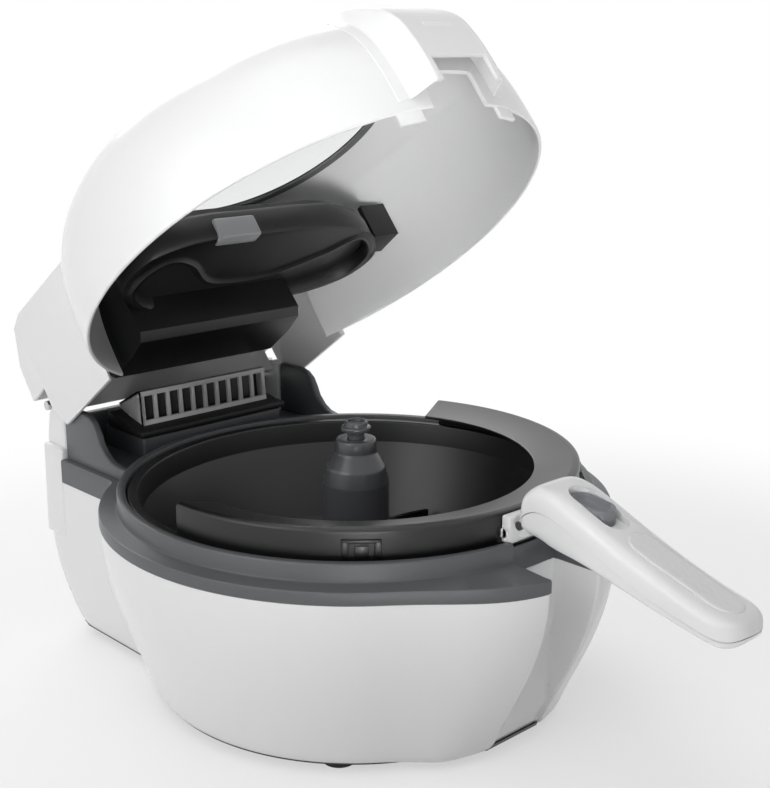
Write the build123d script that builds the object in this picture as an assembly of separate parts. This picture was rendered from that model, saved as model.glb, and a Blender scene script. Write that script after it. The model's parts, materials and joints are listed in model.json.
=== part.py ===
from build123d import *
from math import cos, degrees, pi, radians, sin
import os

# Countertop hot-air multicooker with a hinged lid and a lift-out pan, in millimetres.
# The ring axis of the pan is x = y = 0 while the pieces are made, the floor is z = 0,
# -Y is the front with the handle and +Y is the rear with the lid hinge.
# The lid pieces are made closed and are turned open about the hinge at the end.

# Base, its bowl, front lips and rear housing
RING_R = 148.0            # outer radius of the dark ring; pan, well and lid take theirs from it
FOOT_R = RING_R - 27.0    # radius of the bowl where it stands
FOOT_GAP = 4.0            # rubber feet lift the shell by this much
BOWL_TOP = 105.5          # top edge of the white shell
SHELL_WALL = 2.5
HANDLE_X = 17.0           # half width of the handle
GROOVE_X = HANDLE_X + 1.8     # half width of the groove that stores the handle
LIP_X = GROOVE_X + 0.2        # half width between the two front lips
LIP_TOP_Y = RING_R + 16.2     # how far the lips stand in front of the ring axis
LIP_FOOT_Y = FOOT_R + 6.0
REAR_X = 92.5             # half width of the rear housing
REAR_Y = RING_R + 51.0    # rear wall
REAR_CORNER = 20.0
REAR_START = 40.0         # the rear housing starts inside the bowl

# Dark ring, collar and rear deck
LEDGE = 10.6              # ledge that the rim of the lid shuts over
COLLAR_WALL = 5.0
COLLAR_IN_R = RING_R - LEDGE - COLLAR_WALL
GROOVE_Y = COLLAR_IN_R + 1.1  # back wall of the groove
BAND_TOP = 112.8
COLLAR_TOP = 123.2
DECK_TOP = 115.0
PEDESTAL_TOP = 127.0

# Hinge of the lid
HINGE_Y = REAR_Y - 6.0
HINGE_Z = 144.2
KNUCKLE_X = 12.0          # width of each knuckle
KNUCKLE_R = 7.5
HINGE_PIN_R = 3.0
HINGE_POST_R = 6.0
POST_WALL = 10.0
LID_OPEN = 39.0           # degrees between shut and the propped-open stop

# Bottom plate, its screws and feet, as (x, y) for one side
PLATE_THICK = 2.5
SCREW_R = 1.8
SCREW_HEAD_R = 3.2
SCREW_LONG = 14.0
FOOT_PAD_R = 9.0
FEET_SPOTS = ((FOOT_R - 43.0, -FOOT_R + 49.0), (REAR_X - 30.5, REAR_Y - 67.0))
SCREW_SPOTS = ((FOOT_R - 37.0, -FOOT_R + 69.0), (REAR_X - 22.5, REAR_Y - 51.0))
VENT_PITCH = 12.0
VENT_WIDE = 6.0

# Well, stirring motor and drive
WELL_R = COLLAR_IN_R - 2.4
WELL_FOOT_R = WELL_R - 14.0
SEAL_R = 12.0
WELL_FLOOR = 46.0
WELL_WALL = 1.2
SHAFT_R = 5.0
SHAFT_TOP = 92.0
GEARBOX_R = 34.0
GEARBOX_FLOOR = 20.0
STIR_MOTOR_R = 19.0
STIR_MOTOR_H = 12.5

# Pan
PAN_RIM_R = COLLAR_IN_R - 0.9
PAN_RIM_Z = 121.0
PAN_FLOOR_R = WELL_FOOT_R - 10.0
PAN_FLOOR = 54.0
PAN_WALL = 1.8
CHIMNEY_IN_R = 9.0
CHIMNEY_WALL = 2.5
CHIMNEY_TOP = 84.0
SPLASH_R = PAN_RIM_R - 2.5
SPLASH_IN_R = SPLASH_R - 26.0
SPLASH_TOP = 138.0
SPLASH_WALL = 2.0
SPLASH_START = -178.0     # degrees around the ring, left end
SPLASH_END = 22.0         # right end
CLIP_ANGLES = (-131.0, -49.0)
CLIP_WIDE = 20.0
CLIP_HIGH = 10.0
CLIP_MID_Z = 127.5

# Paddle
HUB_R = 19.4
HUB_SHOULDER = 146.0      # top of the hub, under its knob
HUB_NECK_R = 11.8
DRIVE_SOCKET = SHAFT_R * 0.7 + 0.3
KNOB_STEM_R = 5.0
KNOB_R = 8.6
KNOB_CAP_R = 6.8
KNOB_TRAVEL = 4.0
ARM_REACH = PAN_FLOOR_R - 8.0
ARM_HEIGHT = 16.0
ARM_THICK = 3.0
PADDLE_GAP = 0.8

# Handle
PIVOT_Y = -SPLASH_R - 9.5
PIVOT_Z = 133.0
PIVOT_PIN_R = 2.5
EYE_R = 6.0
HANDLE_LONG = 126.2       # from the pivot to the tip
HANDLE_TIP_Y = PIVOT_Y - HANDLE_LONG
HANDLE_FOLD = 76.0        # degrees from raised to stored in the groove
HANDLE_WALL = 2.2
SEAM_DROP = 13.0          # seam below the top surface of the handle
BRACKET_X = 9.0
BRACKET_FACE = SPLASH_R + 2.6
BRACKET_LOW = PAN_RIM_Z
SLIDER_Y = PIVOT_Y - 33.5
SLIDER_Z = 146.0
SLIDER_LONG = 24.0
SLIDER_WIDE = 15.0
PAD_WIDE = 18.0
PAD_LONG = 66.0
SLIDER_TRAVEL = 7.0

# Lid
LID_R = RING_R - 4.0
LID_Z = 125.8             # where the dome starts to curve in
LID_DOME = 94.0
LID_POWER = 3.0           # squareness of the dome
LID_RIM_Z = 114.5
LID_WALL = 2.6
WINDOW_R = LID_R - 65.0
WINDOW_THICK = 3.0
GASKET_LAP = 4.0
NOSE_X = 24.0
NOSE_Y = -LID_R - 10.0
NOSE_Z = 126.0
NOSE_BUTTON_Z = 160.0
NOSE_TRAVEL = 2.0
ARCH_X = GROOVE_X + 0.8   # arch in the lid rim over the stored handle
ARCH_TOP = 142.5
COVER_TOP = 204.0
COVER_WALL = 2.4
WING_Z = HINGE_Z + 8.8    # lower edge of the wings beside the posts
LATCH_ANGLE = 14.0        # each side of the front, from the ring axis
LATCH_SPAN = 6.0
LATCH_THICK = 2.2
LATCH_LOW = BAND_TOP - 3.5
FILTER_X = LID_R - 47.0
FILTER_FRONT = 5.0
FILTER_REAR = LID_R - 39.0
FILTER_Z = 158.5
FILTER_THICK = 12.0
DUCT_X = 74.0
DUCT_FRONT = LID_R - 56.0
DUCT_REAR = LID_R - 11.0
DUCT_FLOOR = 130.0

# Hot-air outlet
NOZZLE_X = 49.5
NOZZLE_Y = RING_R - 2.0
PEDESTAL_X = NOZZLE_X + 2.5
PEDESTAL_Y = NOZZLE_Y - 8.0
NOZZLE_DEPTH = 16.0
NOZZLE_TOP = 154.0
NOZZLE_SLOTS = 10
NOZZLE_WALL = 2.0
FAN_R = 46.0
FAN_H = 20.0
FAN_Y = NOZZLE_Y + 2.0
FAN_Z = 70.0
FAN_BLADES = 18
FAN_CENTRE = NOZZLE_Y + 15.0
FAN_WHEEL_R = 25.0

# Controls and power inlet, on the side of the base away from the photograph
PANEL_ANGLE = -42.0
PANEL_Z = 72.0
PANEL_HALF = 18.0
BUTTON_R = 5.0
BUTTON_TRAVEL = 1.5
BUTTON_SPOTS = {"start_button": (0, -9.0), "timer_plus_button": (-8.0, 8.0), "timer_minus_button": (8.0, 8.0)}
INLET_X = -REAR_X + 26.5
INLET_Z = 54.0
INLET_R = 10.0
INLET_BORE = 4.0

RUN_GAP = 0.08            # running fits, radial
CLEAR = 0.5               # between pieces that move past each other


# Basic solids

def block(x0, x1, y0, y1, z0, z1):
    """A box between corner values."""
    centre = Pos((x0 + x1) / 2, (y0 + y1) / 2, (z0 + z1) / 2)
    return centre * Box(x1 - x0, y1 - y0, z1 - z0)


def disc(radius, z0, z1, x=0.0, y=0.0):
    """An upright cylinder from z0 to z1."""
    return Pos(x, y, (z0 + z1) / 2) * Cylinder(radius, z1 - z0)


def tube(outer, inner, z0, z1, x=0.0, y=0.0):
    return disc(outer, z0, z1, x, y) - disc(inner, z0 - 1, z1 + 1, x, y)


def rod_x(radius, x0, x1, y, z):
    """A cylinder lying along X."""
    return Pos((x0 + x1) / 2, y, z) * Rot(0, 90, 0) * Cylinder(radius, x1 - x0)


def rod_y(radius, y0, y1, x, z):
    """A cylinder lying along Y."""
    return Pos(x, (y0 + y1) / 2, z) * Rot(90, 0, 0) * Cylinder(radius, y1 - y0)


def side_prism(points, x0, x1):
    """A (y, z) outline stretched along X."""
    face = Plane.YZ.offset(x0) * make_face(Polyline(*points, close=True))
    return extrude(face, x1 - x0)


def plan_prism(points, z0, z1):
    """An (x, y) outline stretched along Z."""
    face = Plane.XY.offset(z0) * make_face(Polyline(*points, close=True))
    return extrude(face, z1 - z0)


def turned(points):
    """A closed (radius, z) outline turned about the ring axis."""
    face = Plane.XZ * make_face(Polyline(*points, close=True))
    return revolve(face, Axis.Z)


def round_box(half_x, y0, y1, z0, z1, corner):
    """An upright box with rounded vertical edges."""
    plan = Pos(0, (y0 + y1) / 2) * RectangleRounded(2 * half_x, y1 - y0, corner)
    return extrude(Plane.XY.offset(z0) * plan, z1 - z0)


def sector(radius, start, end, z0, z1):
    """A pie slice for keeping part of a ring, angles in degrees from +X."""
    steps = 8
    span = (end - start) / steps
    reach = radius / cos(radians(span / 2)) + 1
    rim = []
    for step in range(steps + 1):
        angle = radians(start + span * step)
        rim.append((reach * cos(angle), reach * sin(angle)))
    return plan_prism([(0, 0)] + rim, z0, z1)


# White base

def bowl_radius(z):
    """The bowl widens from its foot to the ring."""
    share = (z - FOOT_GAP) / (BOWL_TOP - FOOT_GAP)
    return FOOT_R + (RING_R - 0.5 - FOOT_R) * sin(pi / 2 * share) ** 1.2


def bowl_levels():
    height = BOWL_TOP - FOOT_GAP
    return [FOOT_GAP + height * share for share in (0.0, 0.12, 0.3, 0.55, 0.78, 1.0)]


def bowl(inset):
    side = Spline(*[(bowl_radius(z) - inset, z) for z in bowl_levels()])
    base_z, top_z = FOOT_GAP, BOWL_TOP
    foot = Line((0, base_z), (bowl_radius(base_z) - inset, base_z))
    top = Line((bowl_radius(top_z) - inset, top_z), (0, top_z))
    axis = Line((0, top_z), (0, base_z))
    return revolve(Plane.XZ * make_face([foot, side, top, axis]), Axis.Z)


def lip_reach(z):
    """The front lips follow the lean of the bowl."""
    share = (bowl_radius(z) - FOOT_R) / (RING_R - FOOT_R)
    return LIP_FOOT_Y + (LIP_TOP_Y - LIP_FOOT_Y) * share


def prow_outline(z, inset):
    """Front lips in plan: two lips blended on to the bowl."""
    reach = lip_reach(z) - inset
    radius = bowl_radius(z) - inset
    return [(-LIP_X - 1, -reach), (-0.56 * radius, -0.81 * radius), (0, -0.5 * radius),
            (0.56 * radius, -0.81 * radius), (LIP_X + 1, -reach)]


def prow(inset):
    faces = []
    for z in bowl_levels():
        outline = make_face(Polyline(*prow_outline(z, inset), close=True))
        faces.append(Plane.XY.offset(z) * outline)
    return loft(faces, ruled=True)


def rear_housing(inset):
    """The box behind the bowl, rounded in plan and at its lower rear edge."""
    plan = round_box(REAR_X - inset, REAR_START, REAR_Y - inset, FOOT_GAP, BOWL_TOP, REAR_CORNER - inset)
    rear = REAR_Y - inset
    curve = Spline((rear - 38, FOOT_GAP), (rear - 12, FOOT_GAP + 22), (rear, FOOT_GAP + 68))
    base = Line((REAR_START, FOOT_GAP), (rear - 38, FOOT_GAP))
    wall = Polyline((rear, FOOT_GAP + 68), (rear, BOWL_TOP), (REAR_START, BOWL_TOP), (REAR_START, FOOT_GAP))
    side = Plane.YZ.offset(-REAR_X) * make_face([base, curve, wall])
    return plan & extrude(side, 2 * REAR_X)


def groove(grow):
    """Upright groove between the front lips."""
    reach = LIP_TOP_Y + 20
    return block(-GROOVE_X - grow, GROOVE_X + grow, -reach, -GROOVE_Y + grow, 0, BOWL_TOP + 40)


def body_solid(inset):
    whole = bowl(inset) + prow(inset) + rear_housing(inset)
    return whole - groove(inset)


def post_xs():
    """Inner and outer x of the right hinge post."""
    return REAR_X - POST_WALL, REAR_X


def make_base_shell():
    shell = body_solid(0) - body_solid(SHELL_WALL)
    rim = block(-LIP_X - 2, LIP_X + 2, -LIP_TOP_Y, -GROOVE_Y + SHELL_WALL, FOOT_GAP, BOWL_TOP)
    shell = shell + (rim & body_solid(0))
    return shell - panel_cut() - inlet_body(1)


def make_hinge_post(side):
    """Post with an eye for the hinge pin; it grows out of a rear corner."""
    inner, outer = post_xs()
    x0, x1 = (inner, outer) if side > 0 else (-outer, -inner)
    stem = block(x0, x1, HINGE_Y - HINGE_POST_R, HINGE_Y + HINGE_POST_R, BAND_TOP, HINGE_Z)
    eye = rod_x(HINGE_POST_R, x0, x1, HINGE_Y, HINGE_Z)
    bore = rod_x(HINGE_PIN_R, x0 - 1, x1 + 1, HINGE_Y, HINGE_Z)
    return stem + eye - bore


def make_hinge_pins():
    inner, outer = post_xs()
    pins = []
    for side in (-1, 1):
        ends = sorted((side * (inner - KNUCKLE_X - CLEAR), side * (outer - 1.5)))
        pins.append(rod_x(HINGE_PIN_R, ends[0], ends[1], HINGE_Y, HINGE_Z))
    return Compound(pins)


def both_sides(spots):
    return [(side * x, y) for x, y in spots for side in (-1, 1)]


def make_bottom_plate():
    plate = body_solid(SHELL_WALL) & block(-300, 300, -300, 300, FOOT_GAP, FOOT_GAP + PLATE_THICK)
    for row in range(-4, 5):
        mid = row * VENT_PITCH
        half = VENT_WIDE / 2
        plate = plate - block(mid - half, mid + half, FOOT_R - 51, FOOT_R - 13, 0, FOOT_GAP + 10)
    for x, y in both_sides(SCREW_SPOTS):
        plate = plate - disc(SCREW_R, 0, 30, x, y)
    return plate


def make_rubber_feet():
    feet = []
    for x, y in both_sides(FEET_SPOTS):
        feet.append(disc(FOOT_PAD_R, 0, FOOT_GAP, x, y))
    return Compound(feet)


def make_base_screws():
    screws = []
    for x, y in both_sides(SCREW_SPOTS):
        head = disc(SCREW_HEAD_R, FOOT_GAP - 1.8, FOOT_GAP, x, y)
        screws.append(disc(SCREW_R, FOOT_GAP, FOOT_GAP + SCREW_LONG, x, y) + head)
    return Compound(screws)


# Dark ring

def plan_outline(inset, z0, z1):
    """The whole base in plan at the height of the dark ring."""
    reach = LIP_TOP_Y - inset
    radius = RING_R - inset
    prow_part = plan_prism([(-LIP_X - 1, -reach), (-0.56 * radius, -0.81 * radius),
                            (0, -0.5 * radius), (0.56 * radius, -0.81 * radius),
                            (LIP_X + 1, -reach)], z0, z1)
    rear = round_box(REAR_X - inset, REAR_START, REAR_Y - inset, z0, z1, REAR_CORNER - inset)
    return disc(radius, z0, z1) + prow_part + rear


def make_bezel_ring():
    ring = plan_outline(0, BOWL_TOP, BAND_TOP)
    ring = ring - (plan_outline(3, BOWL_TOP, BAND_TOP - 2.5) - disc(COLLAR_IN_R + 3, 0, 200))
    deck = round_box(REAR_X - POST_WALL - 1, RING_R - 30, REAR_Y - 3, BAND_TOP, DECK_TOP, 10)
    pedestal_rear = NOZZLE_Y + NOZZLE_DEPTH + 22
    deck = deck + round_box(PEDESTAL_X, PEDESTAL_Y, pedestal_rear, BAND_TOP, PEDESTAL_TOP, 6)
    collar = disc(COLLAR_IN_R + COLLAR_WALL, BAND_TOP - 1, COLLAR_TOP)
    ring = ring + deck + collar - disc(COLLAR_IN_R, BOWL_TOP + 2.5, 200)
    ring = ring - disc(WELL_R - 0.6, 0, 200)
    ring = ring - groove(0)
    ring = ring - block(-GROOVE_X, GROOVE_X, -LIP_TOP_Y - 30, -SPLASH_R + 9, BRACKET_LOW - 1.5, 200)
    ring = ring - air_way(0, 0, 200)
    for side in (-1, 1):
        ring = ring - latch_tongue(side, 0.6, BOWL_TOP + 1, 200)
        inner, outer = post_xs()
        p0, p1 = sorted((side * (inner - 0.1), side * (outer + 5)))
        ring = ring - block(p0, p1, HINGE_Y - HINGE_POST_R - 0.1, REAR_Y + 5, BAND_TOP, 200)
    return ring


def latch_tongue(side, grow, z0, z1):
    """A curved tongue just inside the lid rim."""
    outer = LID_R - LID_WALL + grow
    ring = tube(outer, outer - LATCH_THICK - 2 * grow, z0, z1)
    spread = LATCH_SPAN / 2 + degrees(grow / outer)
    mid = -90 + side * LATCH_ANGLE
    return ring & sector(outer, mid - spread, mid + spread, z0, z1)


def make_well_liner():
    """Thin metal well that the pan drops into."""
    top = BOWL_TOP
    bend = top - 10.5
    foot = WELL_FLOOR - WELL_WALL
    outer = [(0, foot), (WELL_FOOT_R, foot), (WELL_R - 1, bend), (WELL_R, top)]
    inner = [(WELL_R - WELL_WALL, top), (WELL_R - 1 - WELL_WALL, bend),
             (WELL_FOOT_R - WELL_WALL, WELL_FLOOR), (0, WELL_FLOOR)]
    return turned(outer + inner) - disc(SEAL_R, 0, 200)


def make_shaft_seal():
    seal = tube(SEAL_R, SHAFT_R + RUN_GAP, WELL_FLOOR - WELL_WALL, WELL_FLOOR + 1.5)
    return seal + tube(SEAL_R + 3, SHAFT_R + RUN_GAP, WELL_FLOOR, WELL_FLOOR + 1.5)


def make_stir_gearbox():
    box_top = WELL_FLOOR - WELL_WALL
    case = disc(GEARBOX_R, GEARBOX_FLOOR, box_top) - disc(SHAFT_R + RUN_GAP, GEARBOX_FLOOR + 4, 200)
    return case


def make_stir_motor():
    return disc(STIR_MOTOR_R, GEARBOX_FLOOR - STIR_MOTOR_H, GEARBOX_FLOOR)


def make_drive_shaft():
    shaft = disc(SHAFT_R, GEARBOX_FLOOR + 4.3, CHIMNEY_TOP)
    flat = SHAFT_R * 0.7
    flats = block(-flat, flat, -flat, flat, CHIMNEY_TOP - 1, SHAFT_TOP)
    return shaft + flats


# Blower, heater and outlet

def air_way(grow, z0, z1):
    """Upright air passage from the fan to the outlet."""
    reach = NOZZLE_X - 8 + grow
    return block(-reach, reach, NOZZLE_Y + 8 - grow, NOZZLE_Y + 30 + grow, z0, z1)


def make_heater_duct():
    top = PEDESTAL_TOP - 4
    duct = air_way(0, FAN_Z + FAN_H / 2 + 4, top) - air_way(-1.5, 0, 300)
    return duct


def make_heating_element():
    """Sheathed element in three passes across the duct."""
    mid = NOZZLE_Y + 19
    reach = NOZZLE_X - 17
    low = FAN_Z + FAN_H / 2 + 12
    rows = [(-reach, low), (reach, low), (reach, low + 9), (-reach, low + 9), (-reach, low + 18),
            (reach, low + 18)]
    path = FilletPolyline(*[(x, mid, z) for x, z in rows], radius=4.2)
    start = Plane(origin=path @ 0, z_dir=path % 0)
    return sweep(start * Circle(3.2), path=path)


def make_blower_housing():
    case = disc(FAN_R + 5, FAN_Z - FAN_H / 2 - 3.5, FAN_Z + FAN_H / 2 + 4, 0, FAN_Y)
    case = case & block(-60, 60, WELL_R + 2, REAR_Y - SHELL_WALL - 3, 0, 200)
    hollow = disc(FAN_R + 2.5, FAN_Z - FAN_H / 2 - 1, FAN_Z + FAN_H / 2 + 1.5, 0, FAN_Y)
    hollow = hollow & block(-57, 57, WELL_R + 4, REAR_Y - SHELL_WALL - 5, 0, 200)
    case = case - hollow - disc(SHAFT_R + 1, 0, FAN_Z, 0, FAN_CENTRE)
    return case - air_way(-1.5, FAN_Z, 200)


def make_fan_impeller():
    low = FAN_Z - FAN_H / 2 + 1
    wheel = disc(FAN_WHEEL_R, low, low + 1.5, 0, FAN_CENTRE) + disc(7, low, low + 14, 0, FAN_CENTRE)
    for blade in range(FAN_BLADES):
        angle = 360 / FAN_BLADES * blade
        vane = Rot(0, 0, angle) * Pos(FAN_WHEEL_R - 5, 0, low + 7.5) * Rot(0, 0, 35) * Box(8, 1.2, 13)
        wheel = wheel + Pos(0, FAN_CENTRE, 0) * vane
    shaft = disc(2.5, FAN_Z - FAN_H / 2 - 9, low + 14, 0, FAN_CENTRE)
    return wheel + shaft


def make_fan_motor():
    top = FAN_Z - FAN_H / 2 - 3.5
    motor = disc(20, top - 24, top, 0, FAN_CENTRE)
    return motor - disc(2.5 + RUN_GAP, top - 6, top + 1, 0, FAN_CENTRE)


def nozzle_outline(inset):
    back = NOZZLE_Y + NOZZLE_DEPTH
    return [(NOZZLE_Y + inset, PEDESTAL_TOP), (NOZZLE_Y + 2 + inset, NOZZLE_TOP - inset),
            (NOZZLE_Y + 6 + inset, NOZZLE_TOP - inset), (back + 12 - inset, PEDESTAL_TOP)]


def make_hot_air_nozzle():
    nozzle = side_prism(nozzle_outline(0), -NOZZLE_X, NOZZLE_X)
    inner_x = NOZZLE_X - NOZZLE_WALL
    nozzle = nozzle - side_prism(nozzle_outline(NOZZLE_WALL), -inner_x, inner_x)
    nozzle = nozzle - block(-NOZZLE_X + 8, NOZZLE_X - 8, NOZZLE_Y + 8, NOZZLE_Y + 24, 0, PEDESTAL_TOP + 3)
    pitch = (2 * NOZZLE_X - 4) / NOZZLE_SLOTS
    for slot in range(NOZZLE_SLOTS):
        x = -NOZZLE_X + 2 + pitch * (slot + 0.5)
        nozzle = nozzle - block(x - pitch / 2 + 1, x + pitch / 2 - 1, NOZZLE_Y - 5, NOZZLE_Y + 5,
                                PEDESTAL_TOP + 6, NOZZLE_TOP - 4)
    return nozzle


def make_nozzle_gasket():
    """Soft pad round the foot of the outlet."""
    rear = NOZZLE_Y + NOZZLE_DEPTH
    outer = round_box(PEDESTAL_X + 3, PEDESTAL_Y - 2, rear + 24, PEDESTAL_TOP, PEDESTAL_TOP + 5, 7)
    return outer - block(-NOZZLE_X - 0.1, NOZZLE_X + 0.1, NOZZLE_Y - 0.2, rear + 12.1, 0, 200)


# Controls and power inlet

def panel_place(across, up, out):
    """A place on the panel: across it, up it and out of it."""
    face = bowl_radius(PANEL_Z) + 1.2
    return Rot(0, 0, PANEL_ANGLE) * Pos(face + out, across, PANEL_Z + up)


def make_control_panel():
    plate = panel_place(0, 0, -6) * Box(14, 2 * PANEL_HALF, 2 * PANEL_HALF)
    plate = plate - panel_place(0, 0, -8.5) * Box(13, 2 * PANEL_HALF - 3, 2 * PANEL_HALF - 3)
    for across, up in BUTTON_SPOTS.values():
        plate = plate - panel_place(across, up, 0) * Rot(0, 90, 0) * Cylinder(BUTTON_R + 0.4, 30)
    return plate


def panel_cut():
    return panel_place(0, 0, 0) * Box(26, 2 * PANEL_HALF, 2 * PANEL_HALF)


def make_button(across, up):
    return panel_place(across, up, -2.4) * Rot(0, 90, 0) * Cylinder(BUTTON_R, 10)


def make_control_board():
    side = 2 * PANEL_HALF - 4
    return panel_place(0, 0, -12) * Box(1.6, side, side)


def inlet_body(beyond):
    return rod_y(INLET_R, REAR_Y - 22, REAR_Y + beyond, INLET_X, INLET_Z)


def make_power_inlet():
    """Gland in the rear wall where the power cord goes in."""
    return inlet_body(0) - rod_y(INLET_BORE, REAR_Y - 23, REAR_Y + 1, INLET_X, INLET_Z)


# Pan

def make_pan_bowl():
    wall = PAN_WALL
    outer = [(0, PAN_FLOOR - wall), (PAN_FLOOR_R - 10, PAN_FLOOR - wall), (PAN_FLOOR_R, PAN_FLOOR + 5),
             (PAN_RIM_R - 6, PAN_RIM_Z - 14), (PAN_RIM_R - 4, PAN_RIM_Z - 2), (PAN_RIM_R, PAN_RIM_Z - 2),
             (PAN_RIM_R, PAN_RIM_Z)]
    inner = [(PAN_RIM_R - 6, PAN_RIM_Z), (PAN_RIM_R - 6 - wall, PAN_RIM_Z - 14),
             (PAN_FLOOR_R - wall, PAN_FLOOR + 6), (PAN_FLOOR_R - 11, PAN_FLOOR), (0, PAN_FLOOR)]
    return turned(outer + inner) - disc(CHIMNEY_IN_R + CHIMNEY_WALL, 0, 200)


def make_pan_chimney():
    """Sleeve in the middle of the pan that the drive shaft comes up through."""
    chimney = tube(CHIMNEY_IN_R + CHIMNEY_WALL, CHIMNEY_IN_R, PAN_FLOOR - PAN_WALL, CHIMNEY_TOP)
    return chimney + tube(CHIMNEY_IN_R + CHIMNEY_WALL + 4, CHIMNEY_IN_R + 1, PAN_FLOOR, PAN_FLOOR + 1.5)


def make_splash_ring():
    """Raised guard over the front half of the pan, an upside-down L in section."""
    top, wall = SPLASH_TOP, SPLASH_WALL
    outline = [(SPLASH_R, PAN_RIM_Z), (SPLASH_R, top - 3), (SPLASH_R - 3, top), (SPLASH_IN_R, top - 5),
               (SPLASH_IN_R, top - 5 - wall), (SPLASH_R - 4, top - wall - 1), (SPLASH_R - wall, top - 5),
               (SPLASH_R - wall, PAN_RIM_Z)]
    ring = turned(outline) & sector(SPLASH_R + 5, SPLASH_START, SPLASH_END, PAN_RIM_Z - 1, top + 1)
    for angle in CLIP_ANGLES:
        ring = ring - clip_place(angle) * Pos(SPLASH_R - 1, 0, CLIP_MID_Z) * Box(8, CLIP_WIDE, CLIP_HIGH)
    return ring


def clip_place(angle):
    return Rot(0, 0, angle)


def make_ring_clips():
    """Two spring clips that hold the guard to the pan."""
    clips = []
    for angle in CLIP_ANGLES:
        clip = Pos(SPLASH_R - 1, 0, CLIP_MID_Z) * Box(3, CLIP_WIDE, CLIP_HIGH)
        arch = Pos(SPLASH_R - 1, 0, CLIP_MID_Z - 1) * Box(4, 12, CLIP_HIGH - 1)
        tongue = Pos(SPLASH_R - 1, 0, CLIP_MID_Z - 0.75) * Box(2.4, 8, CLIP_HIGH - 1.5)
        clips.append(clip_place(angle) * (clip - arch + tongue))
    return Compound(clips)


def make_handle_bracket():
    """Block on the guard that carries the handle pivot."""
    outline = [(-SPLASH_R + 2, BRACKET_LOW), (-SPLASH_R + 2, PIVOT_Z - 1), (PIVOT_Y, PIVOT_Z + 6.5),
               (PIVOT_Y - 6, PIVOT_Z + 3), (PIVOT_Y - 6, PIVOT_Z - 3), (PIVOT_Y, PIVOT_Z - 7)]
    body = side_prism(outline, -BRACKET_X, BRACKET_X)
    plate = block(-BRACKET_X - 5, BRACKET_X + 5, -BRACKET_FACE, -SPLASH_R + 2, BRACKET_LOW, PIVOT_Z + 1)
    knob = rod_x(2.5, -BRACKET_X - 8, -BRACKET_X - 5, -BRACKET_FACE + 2.5, PIVOT_Z - 6)
    bracket = body + plate + knob - disc(SPLASH_R, 0, 200)
    bracket = bracket - rod_x(PIVOT_PIN_R, -40, 40, PIVOT_Y, PIVOT_Z)
    return bracket


def make_bracket_screws():
    screws = []
    for side in (-1, 1):
        head = rod_y(2.3, -BRACKET_FACE - 1.4, -BRACKET_FACE, side * (BRACKET_X + 2.4), PIVOT_Z - 6)
        screws.append(head)
    return Compound(screws)


def make_pivot_pin():
    return rod_x(PIVOT_PIN_R, -HANDLE_X + 1.5, HANDLE_X - 1.5, PIVOT_Y, PIVOT_Z)


# Paddle

def make_paddle_hub():
    floor = PAN_FLOOR + PADDLE_GAP + 1.5
    top = HUB_SHOULDER
    outline = [(0, floor), (HUB_R + 1, floor), (HUB_R, floor + 34), (HUB_R, top - 24),
               (HUB_R - 1.5, top - 18), (HUB_NECK_R + 0.8, top - 9), (HUB_NECK_R, top - 3),
               (HUB_NECK_R - 0.4, top), (0, top)]
    hub = turned(outline)
    room = CHIMNEY_IN_R + CHIMNEY_WALL + CLEAR
    hub = hub - disc(room + 4, 0, floor + 3) - disc(room, 0, CHIMNEY_TOP + CLEAR)
    hub = hub - block(-DRIVE_SOCKET, DRIVE_SOCKET, -DRIVE_SOCKET, DRIVE_SOCKET, CHIMNEY_TOP, SHAFT_TOP + 1)
    return hub - disc(KNOB_STEM_R + RUN_GAP, top - 14, top + 1)


def make_paddle_knob():
    """Spring-loaded release on top of the hub."""
    base = HUB_SHOULDER + KNOB_TRAVEL + CLEAR
    knob = disc(KNOB_STEM_R, HUB_SHOULDER - 9, base) + disc(KNOB_R, base, base + 3)
    return knob + disc(KNOB_CAP_R, base + 3, base + 6)


def make_paddle_arms():
    """Two blades low over the pan floor, curved to turn the food over."""
    floor = PAN_FLOOR + PADDLE_GAP
    bend = ThreePointArc((0, 0), (ARM_REACH / 2, 17), (ARM_REACH, 0))
    outline = offset(bend, ARM_THICK / 2, kind=Kind.ARC)
    blade = extrude(Plane.XY.offset(floor) * make_face(outline), ARM_HEIGHT)
    whole = Rot(0, 0, 20) * blade + Rot(0, 0, 200) * blade
    limit = turned([(0, floor), (PAN_FLOOR_R - 13, floor), (PAN_FLOOR_R - 4, floor + 8),
                    (PAN_FLOOR_R, floor + 30), (0, floor + 30)])
    return (whole & limit) - disc(HUB_R + 1, 0, 200)


# Handle

def handle_top_line():
    """Top of the raised handle from root to tip, as (y, z)."""
    root = [(5.5, 13.5), (-1.5, 19.5), (-12.5, 23.8), (-30.3, 19.3), (-62.1, 5.6)]
    tip = [(29.8, -7.0), (8.5, -12.5), (1.5, -16.0)]
    return ([(PIVOT_Y + out, PIVOT_Z + up) for out, up in root]
            + [(HANDLE_TIP_Y + back, PIVOT_Z + up) for back, up in tip])


def handle_low_line():
    tip = [(0, -21.0), (4.2, -27.4), (20.2, -25.4)]
    root = [(-61.5, -16.0), (-39.2, -11.0), (-19.5, -9.0), (-13.5, -6.0)]
    return ([(HANDLE_TIP_Y + back, PIVOT_Z + up) for back, up in tip]
            + [(PIVOT_Y + out, PIVOT_Z + up) for out, up in root])


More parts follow.
